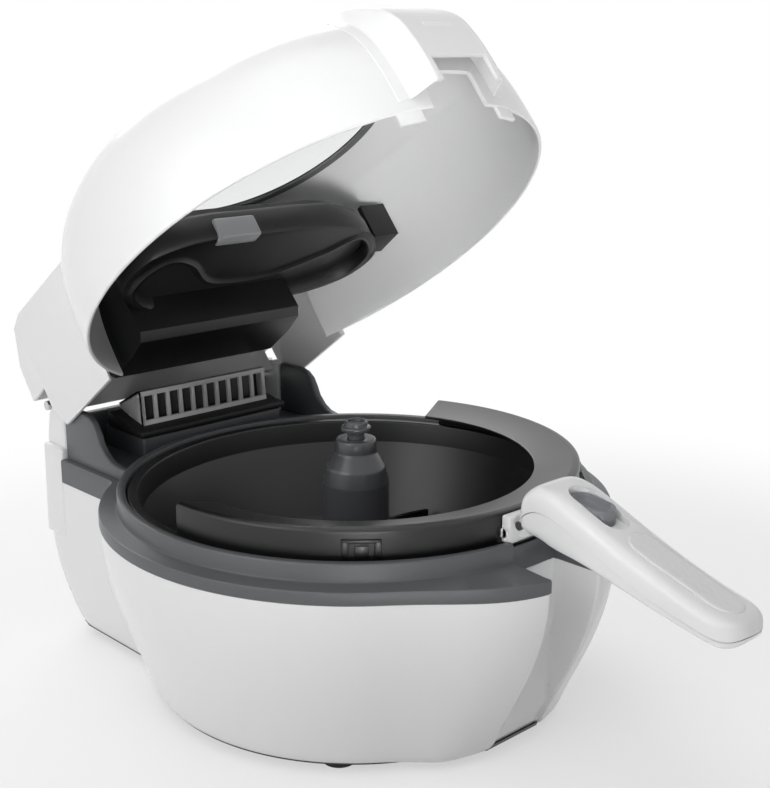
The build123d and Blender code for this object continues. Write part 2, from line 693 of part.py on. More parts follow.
def handle_body(inset):
    top = Spline(*[(y, z - inset) for y, z in handle_top_line()])
    low = Spline(*[(y, z + inset) for y, z in handle_low_line()])
    tip = Line(top @ 1, low @ 0)
    root = Line(low @ 1, top @ 0)
    side = Plane.YZ.offset(-HANDLE_X + inset) * make_face([top, tip, low, root])
    solid = extrude(side, 2 * (HANDLE_X - inset))
    near = PIVOT_Y + 28.5
    outline = RectangleRounded(2 * (HANDLE_X - inset), near - HANDLE_TIP_Y - inset, HANDLE_X - inset - 0.5)
    plan = Pos(0, (HANDLE_TIP_Y + inset + near) / 2) * outline
    return solid & extrude(Plane.XY.offset(PIVOT_Z - 43) * plan, 90)


def handle_seam():
    """Everything above the seam of the handle."""
    line = [(y, z - SEAM_DROP) for y, z in handle_top_line()]
    near, far = line[0][0] + 20, line[-1][0] - 20
    over = PIVOT_Z + 57
    points = [(near, line[0][1])] + line + [(far, line[-1][1]), (far, over), (near, over)]
    return side_prism(points, -30, 30)


def handle_hollow():
    """Room inside both shells, short of the pivot."""
    return handle_body(HANDLE_WALL) - block(-30, 30, PIVOT_Y - 14, PIVOT_Y + 48, 80, 200)


def handle_root_room():
    """Room in the handle root for the bracket and for its turn."""
    reach = BRACKET_X + CLEAR
    return block(-reach, reach, PIVOT_Y - 9, PIVOT_Y + 38, PIVOT_Z - 30, PIVOT_Z + 9.5)


def make_handle_upper_shell():
    shell = (handle_body(0) & handle_seam()) - handle_hollow()
    eyes = rod_x(EYE_R, -HANDLE_X, HANDLE_X, PIVOT_Y, PIVOT_Z)
    eyes = eyes + block(-HANDLE_X, HANDLE_X, PIVOT_Y - 9, PIVOT_Y + EYE_R, PIVOT_Z, PIVOT_Z + 12)
    shell = shell + eyes
    shell = shell - handle_root_room()
    pin_end = HANDLE_X - 1.5 + RUN_GAP
    shell = shell - rod_x(PIVOT_PIN_R + RUN_GAP, -pin_end, pin_end, PIVOT_Y, PIVOT_Z)
    return shell - slider_room()


def slider_room():
    """Oval recess in the top of the handle."""
    long_y = SLIDER_LONG + SLIDER_TRAVEL + 2 * CLEAR
    wide = SLIDER_WIDE + 2 * CLEAR
    plan = Pos(0, SLIDER_Y - SLIDER_TRAVEL / 2) * RectangleRounded(wide, long_y, wide / 2 - 0.05)
    return extrude(Plane.XY.offset(SLIDER_Z - 4.5) * plan, 60)


def make_release_slider():
    """Dished oval slider that frees the handle from its raised lock."""
    plan = Pos(0, SLIDER_Y) * RectangleRounded(SLIDER_WIDE, SLIDER_LONG, SLIDER_WIDE / 2 - 0.05)
    slider = extrude(Plane.XY.offset(SLIDER_Z - 4) * plan, 8.5)
    dish = Pos(0, SLIDER_Y) * RectangleRounded(SLIDER_WIDE - 3, SLIDER_LONG - 3, SLIDER_WIDE / 2 - 1.6)
    return slider - extrude(Plane.XY.offset(SLIDER_Z + 0.5) * dish, 20)


def make_handle_lower_shell():
    shell = handle_body(0) - handle_seam() - handle_hollow()
    shell = shell - rod_x(EYE_R + 0.05, -30, 30, PIVOT_Y, PIVOT_Z)
    shell = shell - block(-30, 30, PIVOT_Y - 9.05, PIVOT_Y + 20, PIVOT_Z - 30, PIVOT_Z + 30)
    return shell - handle_root_room()


def make_grip_pad():
    """Raised textured pad on top of the handle."""
    mid = PIVOT_Y - 0.6775 * HANDLE_LONG
    plan = Pos(0, mid) * RectangleRounded(PAD_WIDE, PAD_LONG, PAD_WIDE / 2 - 0.1)
    zone = extrude(Plane.XY.offset(PIVOT_Z - 33) * plan, 60)
    lifted = Pos(0, 0, 0.7) * handle_body(0)
    return (lifted & zone) - handle_body(0)


def make_slider_spring():
    """Small coil spring behind the slider, hidden inside the handle."""
    return rod_y(2.5, SLIDER_Y - 30, SLIDER_Y - 15, 0, SLIDER_Z - 15)


# Lid, made shut

def dome_points(shrink, steps=9, first=0.0):
    """Superellipse from the side wall to the crown, (radius, z)."""
    radius = LID_R - shrink
    height = LID_DOME - shrink
    points = []
    for step in range(steps):
        angle = first + (pi / 2 - first) * step / (steps - 1)
        r = radius * cos(angle) ** (2 / LID_POWER)
        z = LID_Z + height * sin(angle) ** (2 / LID_POWER)
        points.append((r, z))
    return points


def dome_solid(shrink, low):
    """The filled dome down to height low."""
    points = dome_points(shrink)
    points[-1] = (0.0, points[-1][1])
    curve = Spline(*points, tangents=((0, 1), (-1, 0)))
    wall = Polyline((0, low), (points[0][0], low), points[0])
    axis = Line(points[-1], (0, low))
    return revolve(Plane.XZ * make_face([wall, curve, axis]), Axis.Z)


def arch_cut():
    """Arch through the front of the lid over the folded handle."""
    return block(-ARCH_X, ARCH_X, NOSE_Y - 46, NOSE_Y + 54, 0, ARCH_TOP)


def cover_opening():
    """Rear doorway of the dome into the rear cover."""
    return block(-DUCT_X - 6, DUCT_X + 6, DUCT_FRONT - 8, REAR_Y, 0, COVER_TOP - 18)


def make_lid_shell():
    shell = dome_solid(0, LID_RIM_Z) - dome_solid(LID_WALL, LID_RIM_Z - 1)
    shell = shell - disc(WINDOW_R, LID_Z + 24, 300)
    return shell - arch_cut() - cover_opening() - nose_slot()


def make_lid_window():
    sheet = dome_solid(0, LID_RIM_Z) - dome_solid(WINDOW_THICK, LID_RIM_Z - 1)
    return sheet & disc(WINDOW_R - 0.4, LID_Z + 24, 300)


def make_window_gasket():
    ring = dome_solid(WINDOW_THICK, LID_RIM_Z) - dome_solid(WINDOW_THICK + 3.0, LID_RIM_Z - 1)
    return ring & tube(WINDOW_R + GASKET_LAP, WINDOW_R - GASKET_LAP, LID_Z + 24, 300)


def nose_profile(inset):
    near = NOSE_Y + inset
    back = NOSE_Y + 54
    return [(back, NOSE_Z), (near, NOSE_Z), (near + 1, NOSE_Z + 22), (near + 5, NOSE_Z + 42 - inset),
            (near + 14, NOSE_Z + 58 - inset), (NOSE_Y + 26, NOSE_Z + 66 - inset), (back, NOSE_Z + 74 - inset)]


def nose_solid(inset):
    return side_prism(nose_profile(inset), -NOSE_X + inset, NOSE_X - inset)


def nose_slot():
    """Slot in the dome where the release carriage passes."""
    return block(-15, 15, NOSE_Y - 46, NOSE_Y + 34, ARCH_TOP - 1, NOSE_Z + 46)


def make_nose_cover():
    """Front cover of the lid; it hides the release button and its carriage."""
    nose = nose_solid(0) - dome_solid(0, LID_RIM_Z) - arch_cut()
    hollow = (nose_solid(2.2) + Pos(0, 0, -6) * nose_solid(2.2)) - dome_solid(-2.2, LID_RIM_Z)
    nose = nose - (hollow & block(-50, 50, NOSE_Y - 46, NOSE_Y + 54, ARCH_TOP + 2, NOSE_Z + 74))
    return nose - button_room()


def button_room():
    return block(-10.4, 10.4, NOSE_Y - 16, NOSE_Y + 12, NOSE_BUTTON_Z - 5.4, NOSE_BUTTON_Z + 5.4)


def make_lid_release_button():
    """Push button in the nose, pressed towards the hinge."""
    return block(-10, 10, NOSE_Y + 2.2, NOSE_Y + 8.4, NOSE_BUTTON_Z - 5, NOSE_BUTTON_Z + 5)


def make_latch_hooks():
    """Two hooks inside the lid rim that catch the ring of the base."""
    inside = dome_solid(LID_WALL, LATCH_LOW)
    return [latch_tongue(side, 0, LATCH_LOW, LID_Z + 8) & inside for side in (-1, 1)]


def cover_profile():
    """Side outline of the rear cover with its wings, (y, z)."""
    y = HINGE_Y
    return [(y - 89, HINGE_Z - 25.7), (y - 17, HINGE_Z - 22.2), (y - 8.5, HINGE_Z - 6.2), (y - 8.5, WING_Z),
            (y + 10, WING_Z), (y + 9, COVER_TOP - 26), (y - 3, COVER_TOP - 4), (y - 15, COVER_TOP),
            (y - 97, COVER_TOP - 6)]


def cover_room():
    """Hollow of the rear cover, open at its foot."""
    wall = COVER_WALL
    y = HINGE_Y - wall
    top = COVER_TOP - wall
    outline = [(HINGE_Y - 93, 90), (y - 8.5, 90), (y - 8.5, WING_Z + wall), (y + 9, WING_Z + wall),
               (y + 9, COVER_TOP - 26), (y - 3, top - 4), (y - 15, top), (HINGE_Y - 103, top - 6)]
    return side_prism(outline, -REAR_X + wall, REAR_X - wall)


def make_rear_cover():
    outer = side_prism(cover_profile(), -REAR_X, REAR_X)
    cover = outer - cover_room() - dome_solid(0.0, LID_RIM_Z - 5)
    for side in (-1, 1):
        inner_x, outer_x = post_xs()
        x0, x1 = sorted((side * (inner_x - 0.4), side * (outer_x + 5)))
        sweep_room = rod_x(HINGE_POST_R + 0.6, x0, x1, HINGE_Y, HINGE_Z)
        cover = cover - sweep_room - knuckle_arm(side)
    return cover


def knuckle_xs(side):
    inner, outer = post_xs()
    return sorted((side * (inner - CLEAR - KNUCKLE_X), side * (inner - CLEAR)))


def knuckle_arm(side):
    x0, x1 = knuckle_xs(side)
    y, z = HINGE_Y, HINGE_Z
    outline = [(y - 7, z + 1), (y - 7, z + 30), (y - 12, COVER_TOP - 8), (y - 2, COVER_TOP - 16),
               (y + 5, z + 30), (y + 6.5, z + 10.5), (y + 5, z)]
    return side_prism(outline, x0, x1)


def make_hinge_knuckles():
    """Two arms of the lid that turn on the hinge pins."""
    knuckles = []
    room = cover_room() + block(-REAR_X, REAR_X, 0, 300, 0, WING_Z + COVER_WALL)
    for side in (-1, 1):
        x0, x1 = knuckle_xs(side)
        eye = rod_x(KNUCKLE_R, x0, x1, HINGE_Y, HINGE_Z)
        bore = rod_x(HINGE_PIN_R + RUN_GAP, x0 - 1, x1 + 1, HINGE_Y, HINGE_Z)
        knuckles.append((eye + knuckle_arm(side) & room) - bore)
    return knuckles


def filter_plan(inset):
    """Kidney outline of the filter frame."""
    half = FILTER_X - inset
    front, rear = FILTER_FRONT + inset, FILTER_REAR - inset
    mid = (front + rear) / 2
    points = [(-half, mid + 5), (-half * 0.86, front + 16), (-half * 0.5, front + 2), (0, front + 7),
              (half * 0.5, front + 2), (half * 0.86, front + 16), (half, mid + 5), (half * 0.8, rear - 14),
              (half * 0.4, rear), (-half * 0.4, rear), (-half * 0.8, rear - 14)]
    return make_face(Spline(*points, periodic=True))


def filter_slab(inset, z0, z1):
    return extrude(Plane.XY.offset(z0) * filter_plan(inset), z1 - z0)


def make_filter_frame():
    frame = filter_slab(0, FILTER_Z, FILTER_Z + FILTER_THICK)
    frame = frame - filter_slab(11, FILTER_Z - 1, FILTER_Z + FILTER_THICK + 1)
    return frame + (filter_slab(10, FILTER_Z + 6, FILTER_Z + 8) - filter_slab(15, 0, 300))


def make_filter_mesh():
    return filter_slab(11.2, FILTER_Z + 8, FILTER_Z + 9.2)


def make_filter_tab():
    tab = block(-48, -22, FILTER_FRONT - 5, FILTER_FRONT + 8, FILTER_Z + 2, FILTER_Z + FILTER_THICK - 2)
    return tab - filter_slab(0, FILTER_Z - 5, FILTER_Z + 40)


def make_lid_duct():
    """Black housing above and behind the filter."""
    top = LID_Z + LID_DOME * 0.5
    upper = filter_slab(2, FILTER_Z + FILTER_THICK, top + 6) - filter_slab(4.5, 0, top + 3.5)
    lower = block(-DUCT_X, DUCT_X, DUCT_FRONT, DUCT_REAR, DUCT_FLOOR, top + 6)
    wall = 2.5
    inner_x = DUCT_X - wall
    front, rear = DUCT_FRONT + wall, DUCT_REAR - wall
    lower = lower - block(-inner_x, inner_x, front, rear, DUCT_FLOOR + wall, top + 3.5)
    duct = upper + lower - filter_slab(-0.1, FILTER_Z - 0.1, FILTER_Z + FILTER_THICK)
    duct = duct - filter_slab(4.5, FILTER_Z, top + 3.5)
    return duct & dome_or_cover()


def dome_or_cover():
    """Space inside the lid that the duct may fill."""
    inner_x = REAR_X - 4
    cover_space = block(-inner_x, inner_x, HINGE_Y - 93, HINGE_Y - 13, 100, COVER_TOP - 14)
    return dome_solid(LID_WALL + 3.2, LID_RIM_Z) + cover_space


def make_duct_brackets():
    brackets = []
    for side in (-1, 1):
        x0, x1 = sorted((side * (FILTER_X + 1), side * (FILTER_X + 22)))
        front = (FILTER_FRONT + FILTER_REAR) / 2 - 7
        arm = block(x0, x1, front, front + 22, FILTER_Z - 2, FILTER_Z + 6)
        arm = arm + block(x0, x1, front, front + 4, FILTER_Z - 2, FILTER_Z + 22)
        brackets.append(arm & dome_solid(LID_WALL, LID_RIM_Z))
    return brackets


def make_lid_screws():
    screws = []
    top = COVER_TOP - COVER_WALL - 8
    spots = ((REAR_X - 8.5, HINGE_Y - 73), (REAR_X - 8.5, HINGE_Y - 28))
    for x, y in both_sides(spots):
        screws.append(disc(2, top - 14, top, x, y))
    return screws


# The assembly

def make_all():
    """Every piece by name; the lid pieces are still shut."""
    base = {}
    base["base_shell"] = make_base_shell()
    base["hinge_post_left"] = make_hinge_post(-1)
    base["hinge_post_right"] = make_hinge_post(1)
    base["hinge_pins"] = make_hinge_pins()
    base["bottom_plate"] = make_bottom_plate()
    base["rubber_feet"] = make_rubber_feet()
    base["base_screws"] = make_base_screws()
    base["bezel_ring"] = make_bezel_ring()
    base["well_liner"] = make_well_liner()
    base["shaft_seal"] = make_shaft_seal()
    base["stir_gearbox"] = make_stir_gearbox()
    base["stir_motor"] = make_stir_motor()
    base["drive_shaft"] = make_drive_shaft()
    base["heater_duct"] = make_heater_duct()
    base["heating_element"] = make_heating_element()
    base["blower_housing"] = make_blower_housing()
    base["fan_impeller"] = make_fan_impeller()
    base["fan_motor"] = make_fan_motor()
    base["hot_air_nozzle"] = make_hot_air_nozzle()
    base["nozzle_gasket"] = make_nozzle_gasket()
    base["control_panel"] = make_control_panel()
    base["control_board"] = make_control_board()
    base["power_inlet"] = make_power_inlet()
    for name, (across, up) in BUTTON_SPOTS.items():
        base[name] = make_button(across, up)
    base["pan_bowl"] = make_pan_bowl()
    base["pan_chimney"] = make_pan_chimney()
    base["splash_ring"] = make_splash_ring()
    base["ring_clips"] = make_ring_clips()
    base["handle_bracket"] = make_handle_bracket()
    base["bracket_screws"] = make_bracket_screws()
    base["pivot_pin"] = make_pivot_pin()
    base["paddle_hub"] = make_paddle_hub()
    base["paddle_knob"] = make_paddle_knob()
    base["paddle_arms"] = make_paddle_arms()
    base["handle_upper_shell"] = make_handle_upper_shell()
    base["handle_lower_shell"] = make_handle_lower_shell()
    base["grip_pad"] = make_grip_pad()
    base["release_slider"] = make_release_slider()
    base["slider_spring"] = make_slider_spring()
    lid = {}
    lid["lid_shell"] = make_lid_shell()
    lid["lid_window"] = make_lid_window()
    lid["window_gasket"] = make_window_gasket()
    lid["nose_cover"] = make_nose_cover()
    lid["lid_release_button"] = make_lid_release_button()
    lid["latch_hooks"] = Compound(make_latch_hooks())
    lid["rear_cover"] = make_rear_cover()
    lid["hinge_knuckles"] = Compound(make_hinge_knuckles())
    lid["filter_frame"] = make_filter_frame()
    lid["filter_mesh"] = make_filter_mesh()
    lid["filter_tab"] = make_filter_tab()
    lid["lid_duct"] = make_lid_duct()
    lid["duct_brackets"] = Compound(make_duct_brackets())
    lid["lid_screws"] = Compound(make_lid_screws())
    return base, lid


def open_lid(shape):
    """Turn a shut lid piece to the propped-open stop."""
    hinge = Axis((0, HINGE_Y, HINGE_Z), (1, 0, 0))
    return shape.rotate(hinge, -LID_OPEN)


def main():
    base, lid = make_all()
    pieces = dict(base)
    for name, shape in lid.items():
        pieces[name] = open_lid(shape)
    box = Compound(list(pieces.values())).bounding_box()
    shift = -(box.min.Y + box.max.Y) / 2
    print("y shift", round(shift, 3), "x", round(box.min.X, 2), round(box.max.X, 2), "z", round(box.min.Z, 3))
    for name, shape in pieces.items():
        export_step(Pos(0, shift, 0) * shape, "parts/" + name + ".step")
    return shift


os.makedirs("parts", exist_ok=True)
Y_SHIFT = main()
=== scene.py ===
import bpy
import bmesh
import json
from math import atan2, cos, hypot, pi, radians, sin, sqrt
from mathutils import Matrix, Vector

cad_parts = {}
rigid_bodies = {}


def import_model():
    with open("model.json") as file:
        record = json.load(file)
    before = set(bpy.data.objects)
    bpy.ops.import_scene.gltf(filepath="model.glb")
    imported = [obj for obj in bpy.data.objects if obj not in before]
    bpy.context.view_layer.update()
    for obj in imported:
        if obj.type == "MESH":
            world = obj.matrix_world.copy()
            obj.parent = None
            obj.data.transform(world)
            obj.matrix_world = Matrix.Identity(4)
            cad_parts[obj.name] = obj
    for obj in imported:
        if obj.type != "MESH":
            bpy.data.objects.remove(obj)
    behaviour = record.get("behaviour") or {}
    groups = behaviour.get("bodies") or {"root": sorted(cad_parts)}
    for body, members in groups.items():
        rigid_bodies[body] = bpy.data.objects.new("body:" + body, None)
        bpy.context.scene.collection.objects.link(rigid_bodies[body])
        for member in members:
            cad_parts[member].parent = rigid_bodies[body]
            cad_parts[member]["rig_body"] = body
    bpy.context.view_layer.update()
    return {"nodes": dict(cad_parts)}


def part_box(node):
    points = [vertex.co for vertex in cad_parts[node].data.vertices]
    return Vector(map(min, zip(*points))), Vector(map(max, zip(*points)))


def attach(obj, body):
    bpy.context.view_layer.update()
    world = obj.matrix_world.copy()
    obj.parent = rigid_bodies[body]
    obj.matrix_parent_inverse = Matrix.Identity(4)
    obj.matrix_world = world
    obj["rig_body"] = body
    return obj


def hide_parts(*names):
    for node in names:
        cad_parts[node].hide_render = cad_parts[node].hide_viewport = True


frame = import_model()

# Camera
# It stands at the photograph's place: left of the front, a little above the lid's hinge,
# worked out in millimetres from the axis of the pan.
pan_low, pan_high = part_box("pan_bowl")
ring_y = (pan_low[1] + pan_high[1]) / 2 * 1000
CAMERA_PLACE = (-492.1, -545.2, 364.1)
CAMERA_RIGHT = (0.72674, -0.68691, 0.0)
CAMERA_UP = (0.17367, 0.18374, 0.96751)
CAMERA_FOCAL_PX = 1321.5
IMAGE_LONG_PX = 788


def to_scene(point):
    """A point in millimetres from the pan's axis, in metres in the row frame."""
    return Vector((point[0], point[1] + ring_y, point[2])) / 1000


camera_data = bpy.data.cameras.new("camera")
camera_data.sensor_width = 36.0
camera_data.lens = CAMERA_FOCAL_PX / IMAGE_LONG_PX * 36.0
camera = bpy.data.objects.new("camera", camera_data)
bpy.context.collection.objects.link(camera)
right, up = Vector(CAMERA_RIGHT), Vector(CAMERA_UP)
turn = Matrix((right, up, right.cross(up))).transposed().to_4x4()
camera.matrix_world = Matrix.Translation(to_scene(CAMERA_PLACE)) @ turn
bpy.context.scene.camera = camera
bpy.context.scene.view_settings.view_transform = "Standard"

# White surroundings
# A seamless white table and room: the floor keeps the soft shadow of the cooker, and what the
# camera, a glossy surface or the window sees beyond it is plain white.
FLOOR_HALF, FLOOR_LEVEL = 6.0, -0.0002
WORLD_LEVEL, WORLD_SLOPE = 0.27, 0.2
BRIGHT_SIDE = (-0.92, 0.1, 0.38)
SHADOW_REACH, WHITE_REACH, WHITE_NEAR = 0.34, 0.62, 0.55


def linear(hex_colour):
    """sRGB hex to the linear values that the shaders take."""
    channels = [int(hex_colour[i:i + 2], 16) / 255 for i in (1, 3, 5)]
    return tuple(c / 12.92 if c <= 0.04045 else ((c + 0.055) / 1.055) ** 2.4 for c in channels) + (1.0,)


def add_node(tree, kind, settings=None, **inputs):
    """One shader node with its settings; each input is a value or another node's socket."""
    node = tree.nodes.new(kind)
    for name, value in (settings or {}).items():
        setattr(node, name, value)
    for name, value in inputs.items():
        socket = node.inputs[int(name[1:])] if name[0] == "i" and name[1:].isdigit() else node.inputs[name]
        if isinstance(value, bpy.types.NodeSocket):
            tree.links.new(value, socket)
        else:
            socket.default_value = value
    return node


def seen_directly(tree):
    """One where the camera, a mirror reflection or a clear piece looks on, else zero."""
    path = add_node(tree, "ShaderNodeLightPath")
    either = add_node(tree, "ShaderNodeMath", {"operation": "MAXIMUM"}, i0=path.outputs["Is Camera Ray"],
                      i1=path.outputs["Is Transmission Ray"])
    any_of = add_node(tree, "ShaderNodeMath", {"operation": "MAXIMUM"}, i0=either.outputs[0],
                      i1=path.outputs["Is Glossy Ray"])
    return any_of.outputs[0]


world = bpy.data.worlds.new("white_room")
world.use_nodes = True
bpy.context.scene.world = world
tree = world.node_tree
tree.nodes.clear()
way = add_node(tree, "ShaderNodeTexCoord")
toward = add_node(tree, "ShaderNodeVectorMath", {"operation": "DOT_PRODUCT"},
                  i0=way.outputs["Generated"], i1=BRIGHT_SIDE)
level = add_node(tree, "ShaderNodeMath", {"operation": "MULTIPLY_ADD"},
                 i0=toward.outputs["Value"], i1=WORLD_SLOPE, i2=WORLD_LEVEL)
span = add_node(tree, "ShaderNodeMapRange", i0=seen_directly(tree), i3=level.outputs[0], i4=1.0)
room = add_node(tree, "ShaderNodeBackground", Strength=span.outputs[0], Color=linear("#ffffff"))
add_node(tree, "ShaderNodeOutputWorld", Surface=room.outputs[0])

floor_mesh = bpy.data.meshes.new("floor")
floor_corners = [(x * FLOOR_HALF, y * FLOOR_HALF, FLOOR_LEVEL) for x, y in ((-1, -1), (1, -1), (1, 1), (-1, 1))]
floor_mesh.from_pydata(floor_corners, [], [(0, 1, 2, 3)])
floor = bpy.data.objects.new("floor", floor_mesh)
bpy.context.collection.objects.link(floor)
table = bpy.data.materials.new("white_table")
table.use_nodes = True
tree = table.node_tree
tree.nodes.clear()
paint = add_node(tree, "ShaderNodeBsdfDiffuse", Color=linear("#f4f4f4"))
glow = add_node(tree, "ShaderNodeEmission", Color=linear("#ffffff"), Strength=1.0)
spot = add_node(tree, "ShaderNodeTexCoord")
away = add_node(tree, "ShaderNodeVectorMath", {"operation": "LENGTH"}, i0=spot.outputs["Object"])
white = add_node(tree, "ShaderNodeMapRange", {"interpolation_type": "SMOOTHSTEP"}, i0=away.outputs["Value"],
                 i1=SHADOW_REACH, i2=WHITE_REACH, i3=WHITE_NEAR, i4=1.0)
share = add_node(tree, "ShaderNodeMath", {"operation": "MULTIPLY"}, i0=seen_directly(tree), i1=white.outputs[0])
both = add_node(tree, "ShaderNodeMixShader", i0=share.outputs[0], i1=paint.outputs[0], i2=glow.outputs[0])
add_node(tree, "ShaderNodeOutputMaterial", Surface=both.outputs[0])
floor_mesh.materials.append(table)


def soft_lamp(name, place, aim, size, watts):
    """A large square studio lamp; place and aim in millimetres from the pan's axis."""
    data = bpy.data.lights.new(name, "AREA")
    data.size = size
    data.energy = watts
    lamp = bpy.data.objects.new(name, data)
    bpy.context.collection.objects.link(lamp)
    lamp.location = to_scene(place)
    lamp.rotation_euler = (to_scene(aim) - lamp.location).to_track_quat("-Z", "Y").to_euler()
    return lamp


soft_lamp("left_softbox", (-1700, -100, 900), (0, 0, 120), 1.1, 8)
soft_lamp("top_softbox", (-200, -100, 1700), (0, 0, 100), 1.2, 5.5)
soft_lamp("rear_softbox", (500, 1300, 1100), (0, 60, 200), 0.9, 12)
lid_fill = soft_lamp("lid_fill", (-700, -900, 120), (90, 60, 320), 0.3, 0.2)
lid_fill.data.spread = radians(20)

# White shell of the base
# One injection-moulded bowl of glossy white ABS with a box behind it for the blower. At the
# front two lips stand forward and leave an upright groove that stores the folded handle.
RING_RADIUS = 148.0
FOOT_RADIUS = 121.0
SHELL_LOW, SHELL_TOP = 4.0, 105.5
GROOVE_BACK, GROOVE_HALF = 133.5, 18.8
LIP_TOP_REACH, LIP_FOOT_REACH = 164.2, 127.0
REAR_HALF, REAR_WALL = 92.5, 199.0
LIP_LEAD = 37.0


def bowl_radius(z):
    """The side of the bowl swells quickly above the foot and stands upright at the ring."""
    share = min(max((z - SHELL_LOW) / (SHELL_TOP - SHELL_LOW), 0), 1)
    return FOOT_RADIUS + (RING_RADIUS - 0.5 - FOOT_RADIUS) * sin(pi / 2 * share) ** 1.2


def rounded_path(corners, steps, closed=False):
    """A plane line through corners (a, b, radius), each rounded with the same count of points."""
    line = []
    for i, (a, b, radius) in enumerate(corners):
        here = Vector((a, b))
        if radius <= 0 or (not closed and i in (0, len(corners) - 1)):
            line.append(here)
            continue
        before = Vector(corners[i - 1][:2]) - here
        after = Vector(corners[(i + 1) % len(corners)][:2]) - here
        half = before.angle(after) / 2
        cut = min(radius * cos(half) / max(sin(half), 1e-4), before.length * 0.49, after.length * 0.49)
        start, end = here + before.normalized() * cut, here + after.normalized() * cut
        for k in range(steps + 1):
            t = k / steps
            line.append(start * (1 - t) ** 2 + here * 2 * t * (1 - t) + end * t * t)
    return line


def divided(line, pieces):
    """The same line with pieces parts of even length."""
    lengths = [0.0]
    for a, b in zip(line, line[1:]):
        lengths.append(lengths[-1] + (b - a).length)
    result = []
    index = 0
    for k in range(pieces + 1):
        want = lengths[-1] * k / pieces
        while index < len(line) - 2 and lengths[index + 1] < want:
            index += 1
        step = max(lengths[index + 1] - lengths[index], 1e-9)
        result.append(line[index].lerp(line[index + 1], (want - lengths[index]) / step))
    return result


def curve_through(a, a_way, b, b_way, pieces):
    """A smooth line from a to b that leaves and arrives along the given ways."""
    line = []
    for k in range(pieces + 1):
        t = k / pieces
        line.append(a * (1 - t) ** 3 + (a + a_way) * 3 * t * (1 - t) ** 2 + (b + b_way) * 3 * t * t * (1 - t)
                    + b * t ** 3)
    return line


def plan_line(radius, reach, rear, inset=0.0):
    """Half of the base's outline in plan, from the middle of the front to the middle of the rear."""
    radius, reach, half, rear = radius - inset, reach - inset, REAR_HALF - inset, rear - inset
    groove_x = GROOVE_HALF + inset
    back = min(GROOVE_BACK, reach - 2.5)
    mouth = max(back + 0.6, reach - 4)
    groove = rounded_path([(0, -back, 0), (groove_x, -back, 1.5), (groove_x, -mouth, 0)], 5)
    lip = rounded_path([(groove_x, -mouth, 0), (groove_x, -reach, 2.2), (groove_x + 5, 0.9 - reach, 0)], 6)
    lead = radians(LIP_LEAD - 90)
    meet = Vector((radius * cos(lead), radius * sin(lead)))
    blend = curve_through(lip[-1], Vector((28.0, 7.0)), meet, Vector((sin(lead), -cos(lead))) * 34, 16)
    join = atan2(sqrt(max(radius ** 2 - half ** 2, 1)), half)
    stop = join - 16.0 / radius
    arc = []
    for k in range(49):
        angle = lead + (stop - lead) * k / 48
        arc.append(Vector((radius * cos(angle), radius * sin(angle))))
    side = rounded_path([(arc[-1].x, arc[-1].y, 0), (half, radius * sin(join), 10), (half, rear, 10 - inset),
                         (0, rear, 0)], 8)
    return (divided(groove, 12) + divided(lip, 8)[1:] + divided(blend, 16)[1:] + divided(arc, 60)[1:]
            + divided(side, 56)[1:])


def whole_line(half_line):
    """Both halves of an outline, as one closed loop of points."""
    return list(half_line) + [Vector((-p.x, p.y)) for p in reversed(half_line[1:-1])]


def finish_mesh(piece, smooth=35.0):
    """Outward faces and smooth shading that stays sharp at real edges."""
    mesh = piece.data
    edit = bmesh.new()
    edit.from_mesh(mesh)
    bmesh.ops.remove_doubles(edit, verts=edit.verts, dist=1e-6)
    bmesh.ops.dissolve_degenerate(edit, edges=edit.edges, dist=1e-7)
    bmesh.ops.recalc_face_normals(edit, faces=edit.faces)
    edit.to_mesh(mesh)
    edit.free()
    for polygon in mesh.polygons:
        polygon.use_smooth = True
    mesh.set_sharp_from_angle(angle=radians(smooth))
    return piece


def add_piece(name, shape, material, body, replaced=(), smooth=35.0):
    """A mesh piece from (points, faces) in millimetres from the pan's axis, riding on a body."""
    points, faces = shape
    mesh = bpy.data.meshes.new(name)
    mesh.from_pydata([to_scene(p) for p in points], [], faces)
    piece = bpy.data.objects.new(name, mesh)
    bpy.context.collection.objects.link(piece)
    finish_mesh(piece, smooth)
    if material:
        mesh.materials.append(material)
        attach(piece, body)
        if replaced:
            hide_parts(*replaced)
    return piece


def stacked(rings, closed=True, caps=False):
    """Points and faces between rings of equally many points."""
    count = len(rings[0])
    points = [p for ring in rings for p in ring]
    faces = []
    for row in range(len(rings) - 1):
        for k in range(count if closed else count - 1):
            a = row * count + k
            b = row * count + (k + 1) % count
            faces.append((a, b, b + count, a + count))
    if caps:
        faces.append(tuple(range(count)))
        faces.append(tuple(range(len(points) - count, len(points))))
    return points, faces


def moulded_plastic(name, hex_colour, roughness, grain_mm, grain_depth, ior=1.53):
    """Moulded plastic: a plain colour, its gloss, and the faint grain that the mould leaves."""
    material = bpy.data.materials.new(name)
    material.use_nodes = True
    tree = material.node_tree
    shader = tree.nodes["Principled BSDF"]
    place = add_node(tree, "ShaderNodeTexCoord")
    grain = add_node(tree, "ShaderNodeTexNoise", Vector=place.outputs["Object"], Scale=1000 / grain_mm,
                     Detail=3.0, Roughness=0.6)
    bump = add_node(tree, "ShaderNodeBump", Height=grain.outputs["Fac"], Strength=grain_depth, Distance=0.0002)
    tree.links.new(bump.outputs[0], shader.inputs["Normal"])
    cloud = add_node(tree, "ShaderNodeTexNoise", Vector=place.outputs["Object"], Scale=18.0, Detail=2.0)
    spread = add_node(tree, "ShaderNodeMath", {"operation": "MULTIPLY_ADD"}, i0=cloud.outputs["Fac"],
                      i1=roughness * 0.3, i2=roughness * 0.85)
    tree.links.new(spread.outputs[0], shader.inputs["Roughness"])
    shader.inputs["Base Color"].default_value = linear(hex_colour)
    shader.inputs["IOR"].default_value = ior
    return material


